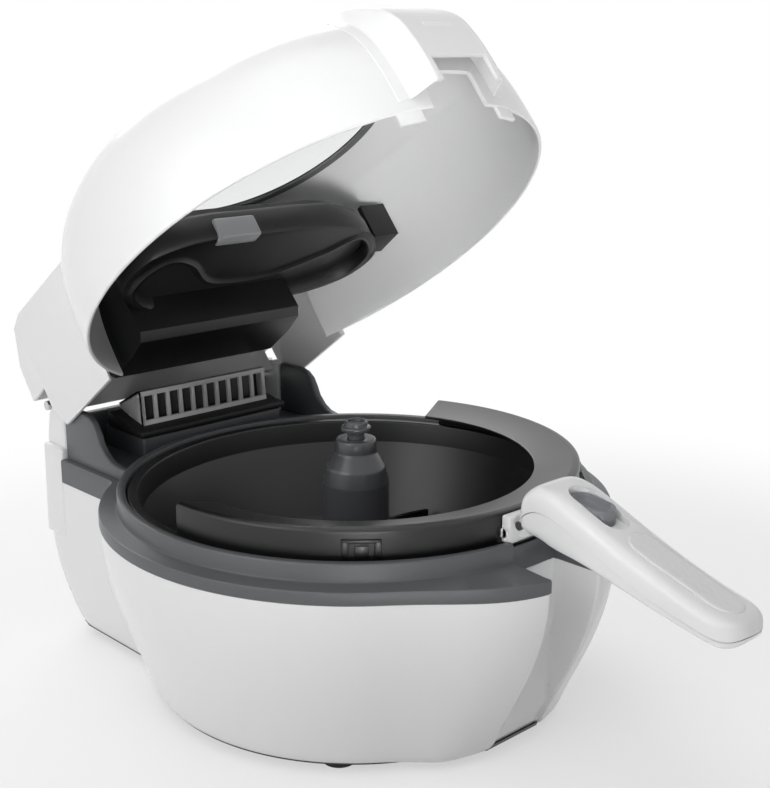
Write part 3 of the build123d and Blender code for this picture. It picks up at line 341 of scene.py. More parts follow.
# Gloss ABS shows soft reflections, and its faint flow ripples are a few millimetres long.
white_abs = moulded_plastic("gloss_white_abs", "#eeeeee", 0.2, 9.0, 0.04)

REAR_TUCK, REAR_TUCK_HEIGHT, FOOT_TUCK, FOOT_TUCK_HEIGHT = 38.0, 68.0, 3.5, 5.0
rings = []
for z in (SHELL_LOW, 4.6, 6.5, 10, 16, 24, 32, 42, 52, 62, 72, 82, 92, 100, 104.6, SHELL_TOP):
    radius = bowl_radius(z)
    share = (radius - FOOT_RADIUS) / (RING_RADIUS - FOOT_RADIUS)
    reach = LIP_FOOT_REACH + (LIP_TOP_REACH - LIP_FOOT_REACH) * share
    rear_drop = REAR_TUCK * max(1 - (z - SHELL_LOW) / REAR_TUCK_HEIGHT, 0) ** 2.3
    tuck = FOOT_TUCK * max(1 - (z - SHELL_LOW) / FOOT_TUCK_HEIGHT, 0) ** 2
    level_line = whole_line(plan_line(radius, reach, REAR_WALL - rear_drop, tuck))
    rings.append([Vector((p.x, p.y, z)) for p in level_line])
add_piece("white_base_shell", stacked(rings), white_abs, "base", ("base_shell",), 40)

# Two posts for the lid
# They grow out of the rear corners of the white shell and carry the hinge pins; their outer
# face steps in above the dark deck so that the wings of the lid pass over them.
POST_FRONT, POST_REAR = 174.5, 196.5
POST_OUT, POST_OUT_HIGH, POST_IN = 93.1, 89.6, 82.5


def side_block(outline, x0, x1):
    """A closed block from a (y, z) outline between two x values."""
    return stacked([[Vector((x, y, z)) for y, z in outline] for x in (x0, x1)], caps=True)


def joined(shapes):
    """Several sets of points and faces as one."""
    points, faces = [], []
    for more_points, more_faces in shapes:
        faces += [tuple(i + len(points) for i in face) for face in more_faces]
        points += list(more_points)
    return points, faces


def rounded_edges(piece, width, angle=30.0, segments=3):
    """Rounds the sharp edges of a piece, as the mould does; the width is in millimetres."""
    mesh = piece.data
    edit = bmesh.new()
    edit.from_mesh(mesh)
    bmesh.ops.dissolve_limit(edit, angle_limit=radians(2), verts=edit.verts, edges=edit.edges)
    sharp = [e for e in edit.edges if len(e.link_faces) == 2 and e.calc_face_angle(0) > radians(angle)]
    bmesh.ops.bevel(edit, geom=sharp, offset=width / 1000, segments=segments, profile=0.5, affect="EDGES",
                    clamp_overlap=True)
    edit.to_mesh(mesh)
    edit.free()
    return finish_mesh(piece, 40)


for name, side in (("left", -1), ("right", 1)):
    low_part = [(POST_FRONT, 60), (POST_REAR + 1.5, 60), (POST_REAR, 120), (POST_FRONT, 120)]
    high_part = [(POST_FRONT, 112), (POST_REAR, 112), (POST_REAR, 124), (193.5, 139), (188.5, 146.5), (182, 148),
                 (176.5, 145.8), (POST_FRONT, 139)]
    shape = joined([side_block(low_part, side * POST_IN, side * POST_OUT),
                    side_block(high_part, side * POST_IN, side * POST_OUT_HIGH)])
    post = add_piece("hinge_post_white_" + name, shape, white_abs, "base", ("hinge_post_" + name,))
    rounded_edges(post, 2.0)

# Dark ring of the base
# Spark-textured dark grey plastic that can bear the heat: an outer band, a ledge for the lid's
# rim and a raised collar round the pan, cut away at the front where the handle comes out.
BAND_TOP, COLLAR_TOP = 112.8, 123.2
COLLAR_OUT, COLLAR_IN = 137.4, 132.4
BAND_LOW_REAR = 97.5
dark_pbt = moulded_plastic("textured_dark_pbt", "#55575a", 0.42, 0.7, 0.2)


def band_ring(inset, z, low=False):
    """One level of the band; its lower edge hangs deeper along the rear box."""
    ring = []
    for p in whole_line(plan_line(RING_RADIUS - 0.4, LIP_TOP_REACH - 0.4, REAR_WALL, inset - 0.4)):
        deep = low and p.y > 112 and abs(p.x) < 96
        ring.append(Vector((p.x, p.y, BAND_LOW_REAR if deep else z)))
    return ring


def collar_ring(radius, z):
    """A circle of the collar with one point below each point of the band, cut down at the groove."""
    ring = []
    for p in band_ring(1.2, z):
        reach = hypot(p.x, p.y)
        in_groove = abs(p.x) < GROOVE_HALF + 0.9 and p.y < 0
        ring.append(Vector((p.x / reach * min(radius, reach), p.y / reach * min(radius, reach),
                            min(z, 119.4) if in_groove else z)))
    return ring


rings = [band_ring(0.6, SHELL_TOP - 0.2, True), band_ring(0, SHELL_TOP + 0.5, True), band_ring(0, 107.5),
         band_ring(0, 111.6), band_ring(0.35, 112.5), band_ring(1.2, BAND_TOP)]
collar_levels = [(COLLAR_OUT + 1.6, BAND_TOP + 0.1), (COLLAR_OUT + 0.5, BAND_TOP + 0.7),
                 (COLLAR_OUT, BAND_TOP + 2), (COLLAR_OUT, COLLAR_TOP - 1.4),
                 (COLLAR_OUT - 0.5, COLLAR_TOP - 0.4), (COLLAR_OUT - 1.6, COLLAR_TOP),
                 (COLLAR_IN + 1.4, COLLAR_TOP), (COLLAR_IN + 0.4, COLLAR_TOP - 0.4),
                 (COLLAR_IN, COLLAR_TOP - 1.4), (COLLAR_IN, 108.2), (129.6, 108.0), (129.6, 105.7)]
rings += [collar_ring(radius, z) for radius, z in collar_levels]
band = stacked(rings)
# The deck behind the collar, the block under the outlet, and a side wall that sweeps up in an
# S-curve to the hinge post.
PEDESTAL_HALF, PEDESTAL_FRONT, PEDESTAL_REAR, PEDESTAL_TOP = 55.0, 138.0, 184.0, 127.0
SWEEP = [(97, 112), (97, 120.4), (116, 120.6), (123, 121.8), (129, 125.0), (134.5, 130.5), (137.5, 136.5),
         (141, 142.0), (146, 145.5), (152, 147), (POST_FRONT - 0.3, 147), (POST_FRONT - 0.3, 112)]
SWEEP_OUT, SWEEP_IN = 89.4, 84.0
pedestal = [(-PEDESTAL_HALF, PEDESTAL_FRONT), (PEDESTAL_HALF, PEDESTAL_FRONT),
            (PEDESTAL_HALF, PEDESTAL_REAR), (-PEDESTAL_HALF, PEDESTAL_REAR)]
block_rings = [[Vector((x, y, z)) for x, y in pedestal] for z in (112.0, PEDESTAL_TOP)]
add_piece("dark_ring", band, dark_pbt, "base", ("bezel_ring",), 30)
sweeps = [side_block(SWEEP, side * SWEEP_IN, side * SWEEP_OUT) for side in (-1, 1)]
deck_plate = ([Vector((x, sqrt(136.5 ** 2 - x * x))) for x in range(-84, 85, 6)]
              + [Vector((84, 196.5)), Vector((-84, 196.5))])
plate_rings = [[Vector((p.x, p.y, z)) for p in deck_plate] for z in (109.0, 113.4)]
back_wall = side_block([(188, 112), (188, 135), (195.6, 135), (195.6, 112)], -83.6, 83.6)
blocks = [stacked(block_rings, caps=True), stacked(plate_rings, caps=True), back_wall]
deck = add_piece("dark_deck", joined(sweeps + blocks), dark_pbt, "base")
rounded_edges(deck, 1.6)

# Hot-air outlet
# A light grey louvre with ten slots on a soft black pad; the heated air of the blower leaves it
# towards the pan.
NOZZLE_HALF, NOZZLE_FRONT, NOZZLE_LOW, NOZZLE_HIGH = 49.5, 146.0, 131.0, 154.0
SLOT_COUNT, FRAME_SIDE = 10, 2.4
nozzle_grey = moulded_plastic("light_grey_outlet_plastic", "#dedede", 0.4, 0.8, 0.12)
black_nylon = moulded_plastic("black_heatproof_nylon", "#0d0d0e", 0.32, 0.8, 0.15)
rubber = moulded_plastic("black_silicone_rubber", "#19191a", 0.6, 0.5, 0.2, 1.42)


def box_block(x0, x1, y0, y1, z0, z1):
    """A plain block between two x, two y and two z values."""
    return side_block([(y0, z0), (y1, z0), (y1, z1), (y0, z1)], x0, x1)


def front_at(z):
    """The face of the louvre leans back a little."""
    return NOZZLE_FRONT + (z - NOZZLE_LOW) * 2.0 / (NOZZLE_HIGH - NOZZLE_LOW)


def leaning_bar(x0, x1, z0, z1, thick=2.2):
    """A bar of the louvre that follows the lean of its front."""
    outline = [(front_at(z0), z0), (front_at(z0) + thick, z0), (front_at(z1) + thick, z1), (front_at(z1), z1)]
    return side_block(outline, x0, x1)


bars = [leaning_bar(-NOZZLE_HALF, NOZZLE_HALF, NOZZLE_LOW, NOZZLE_LOW + 4.2),
        leaning_bar(-NOZZLE_HALF, NOZZLE_HALF, NOZZLE_HIGH - 3.0, NOZZLE_HIGH)]
pitch = (2 * NOZZLE_HALF - FRAME_SIDE) / SLOT_COUNT
for k in range(SLOT_COUNT + 1):
    x = -NOZZLE_HALF + pitch * k
    bars.append(leaning_bar(x, x + FRAME_SIDE, NOZZLE_LOW + 4.0, NOZZLE_HIGH - 2.8))
cheek = [(NOZZLE_FRONT, NOZZLE_LOW), (front_at(NOZZLE_HIGH), NOZZLE_HIGH), (152, NOZZLE_HIGH), (173.5, 142.5),
         (173.5, 139.5)]
for side in (-1, 1):
    bars.append(side_block(cheek, side * (NOZZLE_HALF - 1.6), side * NOZZLE_HALF))
roof = [(front_at(NOZZLE_HIGH), NOZZLE_HIGH - 1.8), (front_at(NOZZLE_HIGH), NOZZLE_HIGH), (152, NOZZLE_HIGH),
        (173.5, 142.5), (173.5, 140.7), (151.6, NOZZLE_HIGH - 1.8)]
bars.append(side_block(roof, -NOZZLE_HALF, NOZZLE_HALF))
nozzle = add_piece("outlet_louvre", joined(bars), nozzle_grey, "base", ("hot_air_nozzle",))
rounded_edges(nozzle, 0.35, segments=2)
throat = [(NOZZLE_FRONT + 7, PEDESTAL_TOP), (NOZZLE_FRONT + 9, 150), (172, 139.8), (172, PEDESTAL_TOP)]
add_piece("outlet_throat", side_block(throat, -NOZZLE_HALF + 1.7, NOZZLE_HALF - 1.7), black_nylon, "base")
pad = [(PEDESTAL_FRONT - 2.2, PEDESTAL_TOP), (PEDESTAL_FRONT - 2.6, PEDESTAL_TOP + 4.6), (145.9, NOZZLE_LOW + 1.2),
       (172, 138.2), (176, 138.2), (176, PEDESTAL_TOP)]
outlet_pad = add_piece("outlet_pad", side_block(pad, -PEDESTAL_HALF - 2.5, PEDESTAL_HALF + 2.5), rubber, "base",
                       ("nozzle_gasket",))
rounded_edges(outlet_pad, 1.8)

# Control panel
# A black film panel bonded to the shell at the front right, round its corners, with three
# buttons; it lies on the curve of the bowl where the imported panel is.
PANEL_CORNER, PANEL_PROUD = 5.0, 0.9
panel_low, panel_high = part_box("control_panel")
panel_turn = atan2((panel_low[1] + panel_high[1]) / 2 - ring_y / 1000, (panel_low[0] + panel_high[0]) / 2)
half_wide = hypot(panel_high[0] - panel_low[0], panel_high[1] - panel_low[1]) * 500 - 1.5
half_high = (panel_high[2] - panel_low[2]) * 500
panel_middle = (panel_high[2] + panel_low[2]) * 500
edge = rounded_path([(-half_wide, -half_high, PANEL_CORNER), (half_wide, -half_high, PANEL_CORNER),
                     (half_wide, half_high, PANEL_CORNER), (-half_wide, half_high, PANEL_CORNER)], 6, True)
edge = divided(edge + edge[:1], 96)[:-1]
rings = []
for scale, proud in ((1.0, -1.5), (1.0, PANEL_PROUD - 0.4), (0.985, PANEL_PROUD), (0.8, PANEL_PROUD),
                     (0.6, PANEL_PROUD), (0.4, PANEL_PROUD), (0.2, PANEL_PROUD), (0.01, PANEL_PROUD)):
    ring = []
    for p in edge:
        z = panel_middle + p.y * scale
        radius = bowl_radius(z) + proud
        angle = panel_turn + p.x * scale / bowl_radius(panel_middle)
        ring.append(Vector((radius * cos(angle), radius * sin(angle), z)))
    rings.append(ring)
gloss_black = moulded_plastic("gloss_black_panel_film", "#0b0b0c", 0.14, 4.0, 0.02)
add_piece("control_panel_black", stacked(rings, caps=True), gloss_black, "base", ("control_panel",), 50)

# Pan
# Pressed aluminium with a non-stick coating: a round bowl with a rolled rim, a sleeve in the
# middle for the drive, and a plastic guard over the front half that the handle is fixed to.
nonstick = moulded_plastic("black_nonstick_coating", "#1b1b1c", 0.36, 0.5, 0.1)


def turned(profile, steps=144, start=0.0, end=360.0):
    """A closed (radius, z) profile turned about the pan's axis."""
    whole = end - start >= 360
    rings = []
    for k in range(steps if whole else steps + 1):
        angle = radians(start + (end - start) * k / steps)
        rings.append([Vector((r * cos(angle), r * sin(angle), z)) for r, z in profile])
    if whole:
        rings.append(rings[0])
    return stacked(rings, caps=not whole)


bowl_profile = rounded_path([(0, 52.2, 0), (97, 52.2, 4), (106, 59, 6), (125.5, 107, 3), (127.5, 119, 1),
                             (131.5, 119, 0.9), (131.5, 121, 0.9), (125.5, 121, 1.5), (123.7, 107, 3),
                             (104.2, 60, 6), (95, 54, 4), (0, 54, 0)], 5, True)
add_piece("coated_pan", turned(bowl_profile), nonstick, "pan", ("pan_bowl",))
sleeve_corners = [(9, 52.2, 0), (15.5, 52.2, 0), (15.5, 55.5, 1.5), (11.5, 56.5, 1.5), (11.5, 84, 1), (9, 84, 1)]
sleeve_profile = rounded_path(sleeve_corners, 4, True)
add_piece("pan_sleeve", turned(sleeve_profile, 48), nonstick, "pan", ("pan_chimney",))

guard_corners = [(129, 121, 0.4), (129, 137.6, 3.4), (125, 138, 4), (103, 132.8, 0.9), (103, 131, 0.6),
                 (125, 134.6, 2), (127, 133, 1.2), (127, 121, 0.4)]
guard_profile = rounded_path(guard_corners, 6, True)
guard_black = moulded_plastic("black_guard_nylon", "#0e0e0f", 0.34, 0.9, 0.12)
add_piece("splash_guard", turned(guard_profile, 160, -178, 22), guard_black, "pan", ("splash_ring",))


def around(shape, degrees_from_x):
    """A shape made on +X, turned about the pan's axis."""
    spin = Matrix.Rotation(radians(degrees_from_x), 3, "Z")
    return [spin @ p for p in shape[0]], shape[1]


clip_parts = []
CLIP_ANGLES = (-131.0, -49.0)
CLIP_BARS = [(127.2, 130.2, -10, -6.4, 122.4, 132.4), (127.2, 130.2, 6.4, 10, 122.4, 132.4),
             (127.2, 130.2, -10, 10, 130.6, 132.6), (126.9, 129.6, -3.6, 3.6, 122.4, 129.4)]
for angle in CLIP_ANGLES:
    frame_bars = [box_block(*sizes) for sizes in CLIP_BARS]
    clip_parts += [around(bar, angle) for bar in frame_bars]
clips = add_piece("guard_clips", joined(clip_parts), black_nylon, "pan", ("ring_clips",))
rounded_edges(clips, 0.6, segments=2)

# Stirring paddle
# Smoke-grey heat-proof plastic: a hub with a bottle-shaped neck over the drive, two low blades,
# and a press knob on top that frees it.
smoke_plastic = moulded_plastic("smoke_grey_plastic", "#55565a", 0.26, 1.2, 0.08)
hub_profile = rounded_path([(12.3, 58, 0), (20.4, 56.5, 1), (19.4, 90, 0), (19.4, 120, 4), (17.6, 129.5, 6),
                            (12.2, 138, 4), (11.8, 144.6, 0), (11.3, 146, 1), (5.2, 146, 0.5), (5.2, 86, 0.5),
                            (12.3, 84.6, 1)], 6, True)
add_piece("paddle_hub_smoke", turned(hub_profile, 64), smoke_plastic, "paddle", ("paddle_hub",))
knob_profile = rounded_path([(0, 137, 0), (5, 137, 0), (5, 150.5, 0), (8.6, 150.5, 0.8), (8.6, 153.2, 0.8),
                             (6.8, 153.5, 0.3), (6.8, 156.4, 0.9), (4.6, 156.4, 0.4), (4.4, 154.8, 0.4),
                             (0, 154.8, 0)], 4, True)
add_piece("paddle_knob_smoke", turned(knob_profile, 48), smoke_plastic, "knob", ("paddle_knob",))

# Handle bracket
# A white block screwed to the guard; a stem runs down to the rim of the pan and the handle turns
# on a steel pin through it.
PIVOT_Y, PIVOT_Z = -138.5, 133.0
handle_white = moulded_plastic("satin_white_abs", "#e9e9e9", 0.3, 0.9, 0.06)


def softened(node, width, material, name, smooth_angle=30.0):
    """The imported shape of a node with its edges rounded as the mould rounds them."""
    source = frame["nodes"][node]
    piece = bpy.data.objects.new(name, source.data.copy())
    bpy.context.collection.objects.link(piece)
    piece.data.materials.clear()
    piece.data.materials.append(material)
    finish_mesh(piece)
    rounded_edges(piece, width, smooth_angle)
    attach(piece, source["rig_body"])
    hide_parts(node)
    return piece


softened("handle_bracket", 0.9, handle_white, "handle_bracket_white")
CORE_SIDES, CORE_DEPTH, CORE_HEIGHT = (-17.0, 8.0), (-133.6, -128.0), (122.0, 136.5)
core = box_block(*CORE_SIDES, *CORE_DEPTH, *CORE_HEIGHT)
bracket_core = add_piece("handle_bracket_core", core, handle_white, "pan")
rounded_edges(bracket_core, 1.2)

# Folding handle
# Two moulded shells that meet at a seam along the side, a smooth hump over the pivot, a rounded
# tip, and a ribbed pad on top. The grey oval slider sits in a recess near the root.
HANDLE_HALF = 17.0
HANDLE_TOP = [(0.5, 11.0), (-0.6, 15.6), (-3.0, 19.4), (-7.4, 22.4), (-12.8, 23.8), (-20, 22.9), (-30.3, 19.3),
              (-46, 12.4), (-62.1, 5.6), (-79, -1.0), (-96.4, -7.0), (-108, -10.2), (-117.7, -12.5),
              (-122.5, -14.2), (-125.3, -17.2), (-126.2, -20.5)]
HANDLE_LOW = [(0.5, 1.5), (-1.6, -2.6), (-6.0, -4.6), (-13.5, -6.2), (-19.5, -8.8), (-39.2, -11.0), (-61.5, -16.0),
              (-84, -20.8), (-106.0, -25.4), (-114, -27.0), (-119.5, -27.4), (-124, -25.2), (-126.2, -21.5)]
SEAM_DROP = 13.0
HANDLE_STATIONS = 130
HANDLE_ROOT, HANDLE_LENGTH, ROOT_STOP, TIP_STOP = 0.5, 126.7, 0.45, -126.15
TIP_ROUNDING_START, TIP_ROUNDING, NARROWEST = -109.7, 16.5, 0.6
SEAM_GAP, SHELL_STEP, FLANK_POWER, FLANK_STEPS = 0.25, 0.5, 0.42, 40


def value_at(table, y):
    """The height of a line of (y, z) points at y; y falls along the table."""
    for (y0, z0), (y1, z1) in zip(table, table[1:]):
        if y1 <= y <= y0:
            t = (y0 - y) / (y0 - y1)
            return z0 + (z1 - z0) * t
    return table[0][1] if y > table[0][0] else table[-1][1]


def smoothed(table, rounds=3):
    """Corner cutting, so that a short table reads as a smooth curve."""
    for _ in range(rounds):
        line = [table[0]]
        for (a, b), (c, d) in zip(table, table[1:]):
            line += [(a * 0.75 + c * 0.25, b * 0.75 + d * 0.25), (a * 0.25 + c * 0.75, b * 0.25 + d * 0.75)]
        table = line + [table[-1]]
    return table


top_line, low_line = smoothed(HANDLE_TOP), smoothed(HANDLE_LOW)
upper_rings, lower_rings = [], []
for k in range(HANDLE_STATIONS + 1):
    share = k / HANDLE_STATIONS
    y = HANDLE_ROOT - HANDLE_LENGTH * (share - 0.1 * sin(2 * pi * share))
    y = min(max(y, TIP_STOP), ROOT_STOP)
    top, low = value_at(top_line, y), value_at(low_line, y)
    tip = min(max((TIP_ROUNDING_START - y) / TIP_ROUNDING, 0), 1)
    root = min(max((y + 4.0) / 4.5, 0), 1)
    half = HANDLE_HALF * (1 - tip ** 2.3) ** (1 / 2.3) * (1 - 0.22 * root ** 2.5)
    half = max(half, NARROWEST)
    seam = max(top - SEAM_DROP, low + (top - low) * 0.3)
    upper, lower = [], []
    for step in range(FLANK_STEPS + 1):
        angle = pi * step / FLANK_STEPS
        c, s = cos(angle), sin(angle)
        bow = (abs(c) ** 0.5) * (1 if c >= 0 else -1)
        rise = seam + SEAM_GAP + (top - seam - SEAM_GAP) * s ** FLANK_POWER
        fall = seam - SEAM_GAP - (seam - SEAM_GAP - low) * s ** FLANK_POWER
        upper.append(Vector((bow * half, PIVOT_Y + y, PIVOT_Z + rise)))
        lower.append(Vector((bow * (half - SHELL_STEP), PIVOT_Y + y, PIVOT_Z + fall)))
    upper_rings.append(upper)
    lower_rings.append(lower)
upper_shell = add_piece("handle_upper_white", stacked(upper_rings, caps=True), white_abs, "handle",
                        ("handle_upper_shell",), 50)
add_piece("handle_lower_white", stacked(lower_rings, caps=True), white_abs, "handle",
          ("handle_lower_shell",), 50)


def carve(piece, shape):
    """Cuts a closed shape out of a piece."""
    cutter = add_piece("cutter", shape, None, None)
    cut = piece.modifiers.new("cut", "BOOLEAN")
    cut.operation = "DIFFERENCE"
    cut.solver = "EXACT"
    cut.object = cutter
    graph = bpy.context.evaluated_depsgraph_get()
    result = bpy.data.meshes.new_from_object(piece.evaluated_get(graph))
    piece.modifiers.clear()
    piece.data = result
    bpy.data.objects.remove(cutter)
    return finish_mesh(piece, 35)


def oval(half_x, y0, y1, steps=14):
    """A stadium outline in plan."""
    line = []
    for k in range(steps + 1):
        angle = pi * k / steps
        line.append(Vector((half_x * cos(angle), y1 - half_x + half_x * sin(angle))))
    for k in range(steps + 1):
        angle = pi + pi * k / steps
        line.append(Vector((half_x * cos(angle), y0 + half_x + half_x * sin(angle))))
    return line


def oval_stack(levels):
    """Stadium outlines on top of each other, each (half x, y0, y1, z at y0, z at y1)."""
    rings = []
    for half_x, y0, y1, z0, z1 in levels:
        rings.append([Vector((p.x, p.y, z0 + (z1 - z0) * (p.y - y0) / (y1 - y0))) for p in oval(half_x, y0, y1)])
    return stacked(rings, caps=True)


SLIDER_REAR, SLIDER_FRONT, RECESS_FRONT = -159.7, -184.3, -192.3
recess_levels = [(8.1, RECESS_FRONT, -158.9, 139.2, 147.5), (8.1, RECESS_FRONT, -158.9, 160, 172)]
carve(upper_shell, oval_stack(recess_levels))
grey_plastic = moulded_plastic("mid_grey_abs", "#76787c", 0.36, 0.8, 0.12)
slider_levels = [(7.5, SLIDER_FRONT, SLIDER_REAR, 139.6, 146.5),
                 (7.5, SLIDER_FRONT, SLIDER_REAR, 148.6, 151.6),
                 (7.1, SLIDER_FRONT + 0.4, SLIDER_REAR - 0.4, 149.0, 152.0),
                 (6.3, SLIDER_FRONT + 1.2, SLIDER_REAR - 1.2, 148.8, 151.8),
                 (5.6, SLIDER_FRONT + 2.2, SLIDER_REAR - 2.2, 147.4, 150.2),
                 (3.6, SLIDER_FRONT + 4.6, SLIDER_REAR - 4.6, 146.0, 148.4)]
add_piece("release_slider_grey", oval_stack(slider_levels), grey_plastic, "slider", ("release_slider",), 50)

pad_rings = []
for half_x, y0, y1, lift in ((9.0, -257.5, -196.0, -0.6), (9.0, -257.5, -196.0, 0.25), (8.4, -256.9, -196.6, 0.6),
                             (7.4, -255.9, -197.6, 0.62)):
    pad_rings.append([Vector((p.x, p.y, PIVOT_Z + value_at(top_line, p.y - PIVOT_Y) + lift
                              - 0.18 * (p.x / 9.0) ** 2)) for p in oval(half_x, y0, y1)])
grip = bpy.data.materials.new("ribbed_white_abs")
grip.use_nodes = True
tree = grip.node_tree
place = add_node(tree, "ShaderNodeTexCoord")
ribs = add_node(tree, "ShaderNodeTexVoronoi", Vector=place.outputs["Object"], Scale=1000 / 2.6)
bump = add_node(tree, "ShaderNodeBump", Height=ribs.outputs["Distance"], Strength=0.5, Distance=0.0004)
tree.links.new(bump.outputs[0], tree.nodes["Principled BSDF"].inputs["Normal"])
tree.nodes["Principled BSDF"].inputs["Base Color"].default_value = linear("#eaeaea")
tree.nodes["Principled BSDF"].inputs["Roughness"].default_value = 0.38
tree.nodes["Principled BSDF"].inputs["IOR"].default_value = 1.53
add_piece("grip_pad_ribbed", stacked(pad_rings, caps=True), grip, "handle", ("grip_pad",), 50)

# Lid dome
# A glossy white dome with a squarer shoulder than a ball, a large round hole for the window and
# an arch in its rim over the folded handle. It is shaped shut, then turned open on its hinge.
HINGE_Y, HINGE_Z, LID_ANGLE = 193.0, 144.2, 39.0
LID_RADIUS, LID_SHOULDER, DOME_HEIGHT, LID_RIM, LID_WALL = 142.0, 128.0, 90.0, 121.5, 2.6
WINDOW_RADIUS = 84.0


def opened(shape):
    """A shape of the shut lid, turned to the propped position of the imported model."""
    points = []
    for p in shape[0]:
        dy, dz = p.y - HINGE_Y, p.z - HINGE_Z
        c, s = cos(radians(LID_ANGLE)), sin(radians(LID_ANGLE))
        points.append(Vector((p.x, HINGE_Y + c * dy + s * dz, HINGE_Z - s * dy + c * dz)))
    return points, shape[1]


def dome_at(angle, shrink=0.0):
    """Radius and height of the dome; the angle runs from the shoulder (0) to the crown (90)."""
    r = (LID_RADIUS - shrink) * cos(radians(angle)) ** (2 / 3)
    return r, LID_SHOULDER + (DOME_HEIGHT - shrink) * sin(radians(angle)) ** (2 / 3)


def angle_of(radius, shrink=0.0):
    """The dome angle at a radius."""
    share = (radius / (LID_RADIUS - shrink)) ** 1.5
    return 90 - atan2(share, sqrt(1 - share * share)) * 180 / pi


def dome_line(shrink, end_radius, steps=40):
    """Dome profile from the shoulder to a radius, finer near the shoulder."""
    last = angle_of(end_radius, shrink)
    return [dome_at(last * (k / steps) ** 1.7, shrink) for k in range(steps + 1)]


lid_profile = ([(LID_RADIUS - 0.9, LID_RIM), (LID_RADIUS - 0.2, LID_RIM + 0.7), (LID_RADIUS, LID_RIM + 2)]
               + dome_line(0, WINDOW_RADIUS) + list(reversed(dome_line(LID_WALL, WINDOW_RADIUS)))
               + [(LID_RADIUS - LID_WALL, LID_RIM + 1.2), (LID_RADIUS - LID_WALL + 0.5, LID_RIM + 0.2)])
dome = add_piece("lid_dome_white", opened(turned(lid_profile, 192)), white_abs, "lid", ("lid_shell",), 40)
arch = box_block(-19.6, 19.6, -200, -100, 90, 142.5)
doorway = box_block(-80, 80, 80, 200, 90, 186)
carve(dome, opened(arch))
carve(dome, opened(doorway))

# Window
# Clear polycarbonate that carries on the curve of the dome, sealed by a dark grey gasket.
clear_pc = bpy.data.materials.new("clear_polycarbonate")
clear_pc.use_nodes = True
shader = clear_pc.node_tree.nodes["Principled BSDF"]
shader.inputs["Base Color"].default_value = linear("#fbfcfc")
shader.inputs["Roughness"].default_value = 0.03
shader.inputs["IOR"].default_value = 1.58
shader.inputs["Transmission Weight"].default_value = 1.0
window_profile = ([dome_at(angle_of(WINDOW_RADIUS - 0.5 - 83.4 * k / 24)) for k in range(25)]
                  + [dome_at(angle_of(WINDOW_RADIUS - 83.9 + 83.4 * k / 24, 3.0), 3.0) for k in range(25)])
add_piece("clear_window", opened(turned(window_profile, 128)), clear_pc, "lid", ("lid_window",), 60)
gasket_grey = moulded_plastic("dark_grey_silicone", "#6a6a6b", 0.6, 0.6, 0.15, 1.42)
gasket_profile = [dome_at(angle_of(r, 2.8), 2.8) for r in (86.4, 85.4, 84.4, 83.4, 82.4)]
gasket_profile += [dome_at(angle_of(r, 4.2), 4.2) for r in (82.6, 83.6, 84.4, 85.4, 86.2)]
add_piece("window_seal", opened(turned(gasket_profile, 128)), gasket_grey, "lid", ("window_gasket",), 60)

# Nose of the lid
# A white cover snapped over the front of the dome. Its middle stands forward as a rounded block
# that hides the release, and a fine dark seam shows where its flanks meet the dome.
NOSE_HALF, FLANK_HALF, SEAM_HALF = 23.0, 31.0, 38.0


def nose_height(angle):
    """How far the block stands out of the dome, by dome angle."""
    table = [(0, 12.0), (14, 11.8), (18, 11.0), (22, 9.2), (26, 7.0), (33, 4.5), (39, 2.8), (45, 1.7), (51, 1.0),
             (57, 0.6), (62, 0.4), (70, 0.35), (90, 0.35)]
    for (a0, h0), (a1, h1) in zip(table, table[1:]):
        if a0 <= angle <= a1:
            return h0 + (h1 - h0) * (angle - a0) / (a1 - a0)
    return table[-1][1]


def nose_point(x, angle, shrink):
    """A point of the cover above the dome, square across its middle and blended at its flanks."""
    radius, z = dome_at(angle)
    base_y = -sqrt(max(radius ** 2 - x ** 2, 1))
    r0, z0 = dome_at(max(angle - 0.5, 0))
    r1, z1 = dome_at(angle + 0.5)
    away = Vector((z1 - z0, r0 - r1)).normalized()
    edge = abs(x)
    if edge <= NOSE_HALF:
        share = 1.0
    elif edge >= FLANK_HALF:
        share = 0.0
    else:
        t = (edge - NOSE_HALF) / (FLANK_HALF - NOSE_HALF)
        share = 1 - t * t * (3 - 2 * t)
    flat = (radius + base_y) * share * 0.9
    lift = 0.35 + (nose_height(angle) + flat) * share - shrink
    if edge > SEAM_HALF - 0.8:
        lift -= 1.2 * (edge - SEAM_HALF + 0.8) / 0.8
    return Vector((x, base_y - away.x * lift, z + away.y * lift))


across = [-SEAM_HALF, -SEAM_HALF + 0.3, -SEAM_HALF + 0.8, -35.5]
across += [-33.5 + 0.5 * k for k in range(21)] + [-22.6, -22, -20, -16, -12, -8, -4, 0]
across = sorted(set(across + [-x for x in across]))
along = [0.0] + [61.5 * (k / 44) ** 1.35 for k in range(1, 45)]
outer_rows = [[nose_point(x, angle, 0.0) for x in across] for angle in along]
inner_rows = [[nose_point(x, angle, 2.2) for x in across] for angle in along]
loops = [outer + list(reversed(inner)) for outer, inner in zip(outer_rows, inner_rows)]
nose = add_piece("nose_cover_white", opened(stacked(loops, caps=True)), white_abs, "lid", ("nose_cover",), 28)
carve(nose, opened(arch))

# Rear cover of the lid
# White shroud over the hinge with a wing down each side; the wings are notched over the posts.
rear_cover = softened("rear_cover", 1.8, white_abs, "rear_cover_white")
for side in (-1, 1):
    carve(rear_cover, opened(box_block(*sorted((side * 81.0, side * 90.1)), 168, 201, 100, 160)))

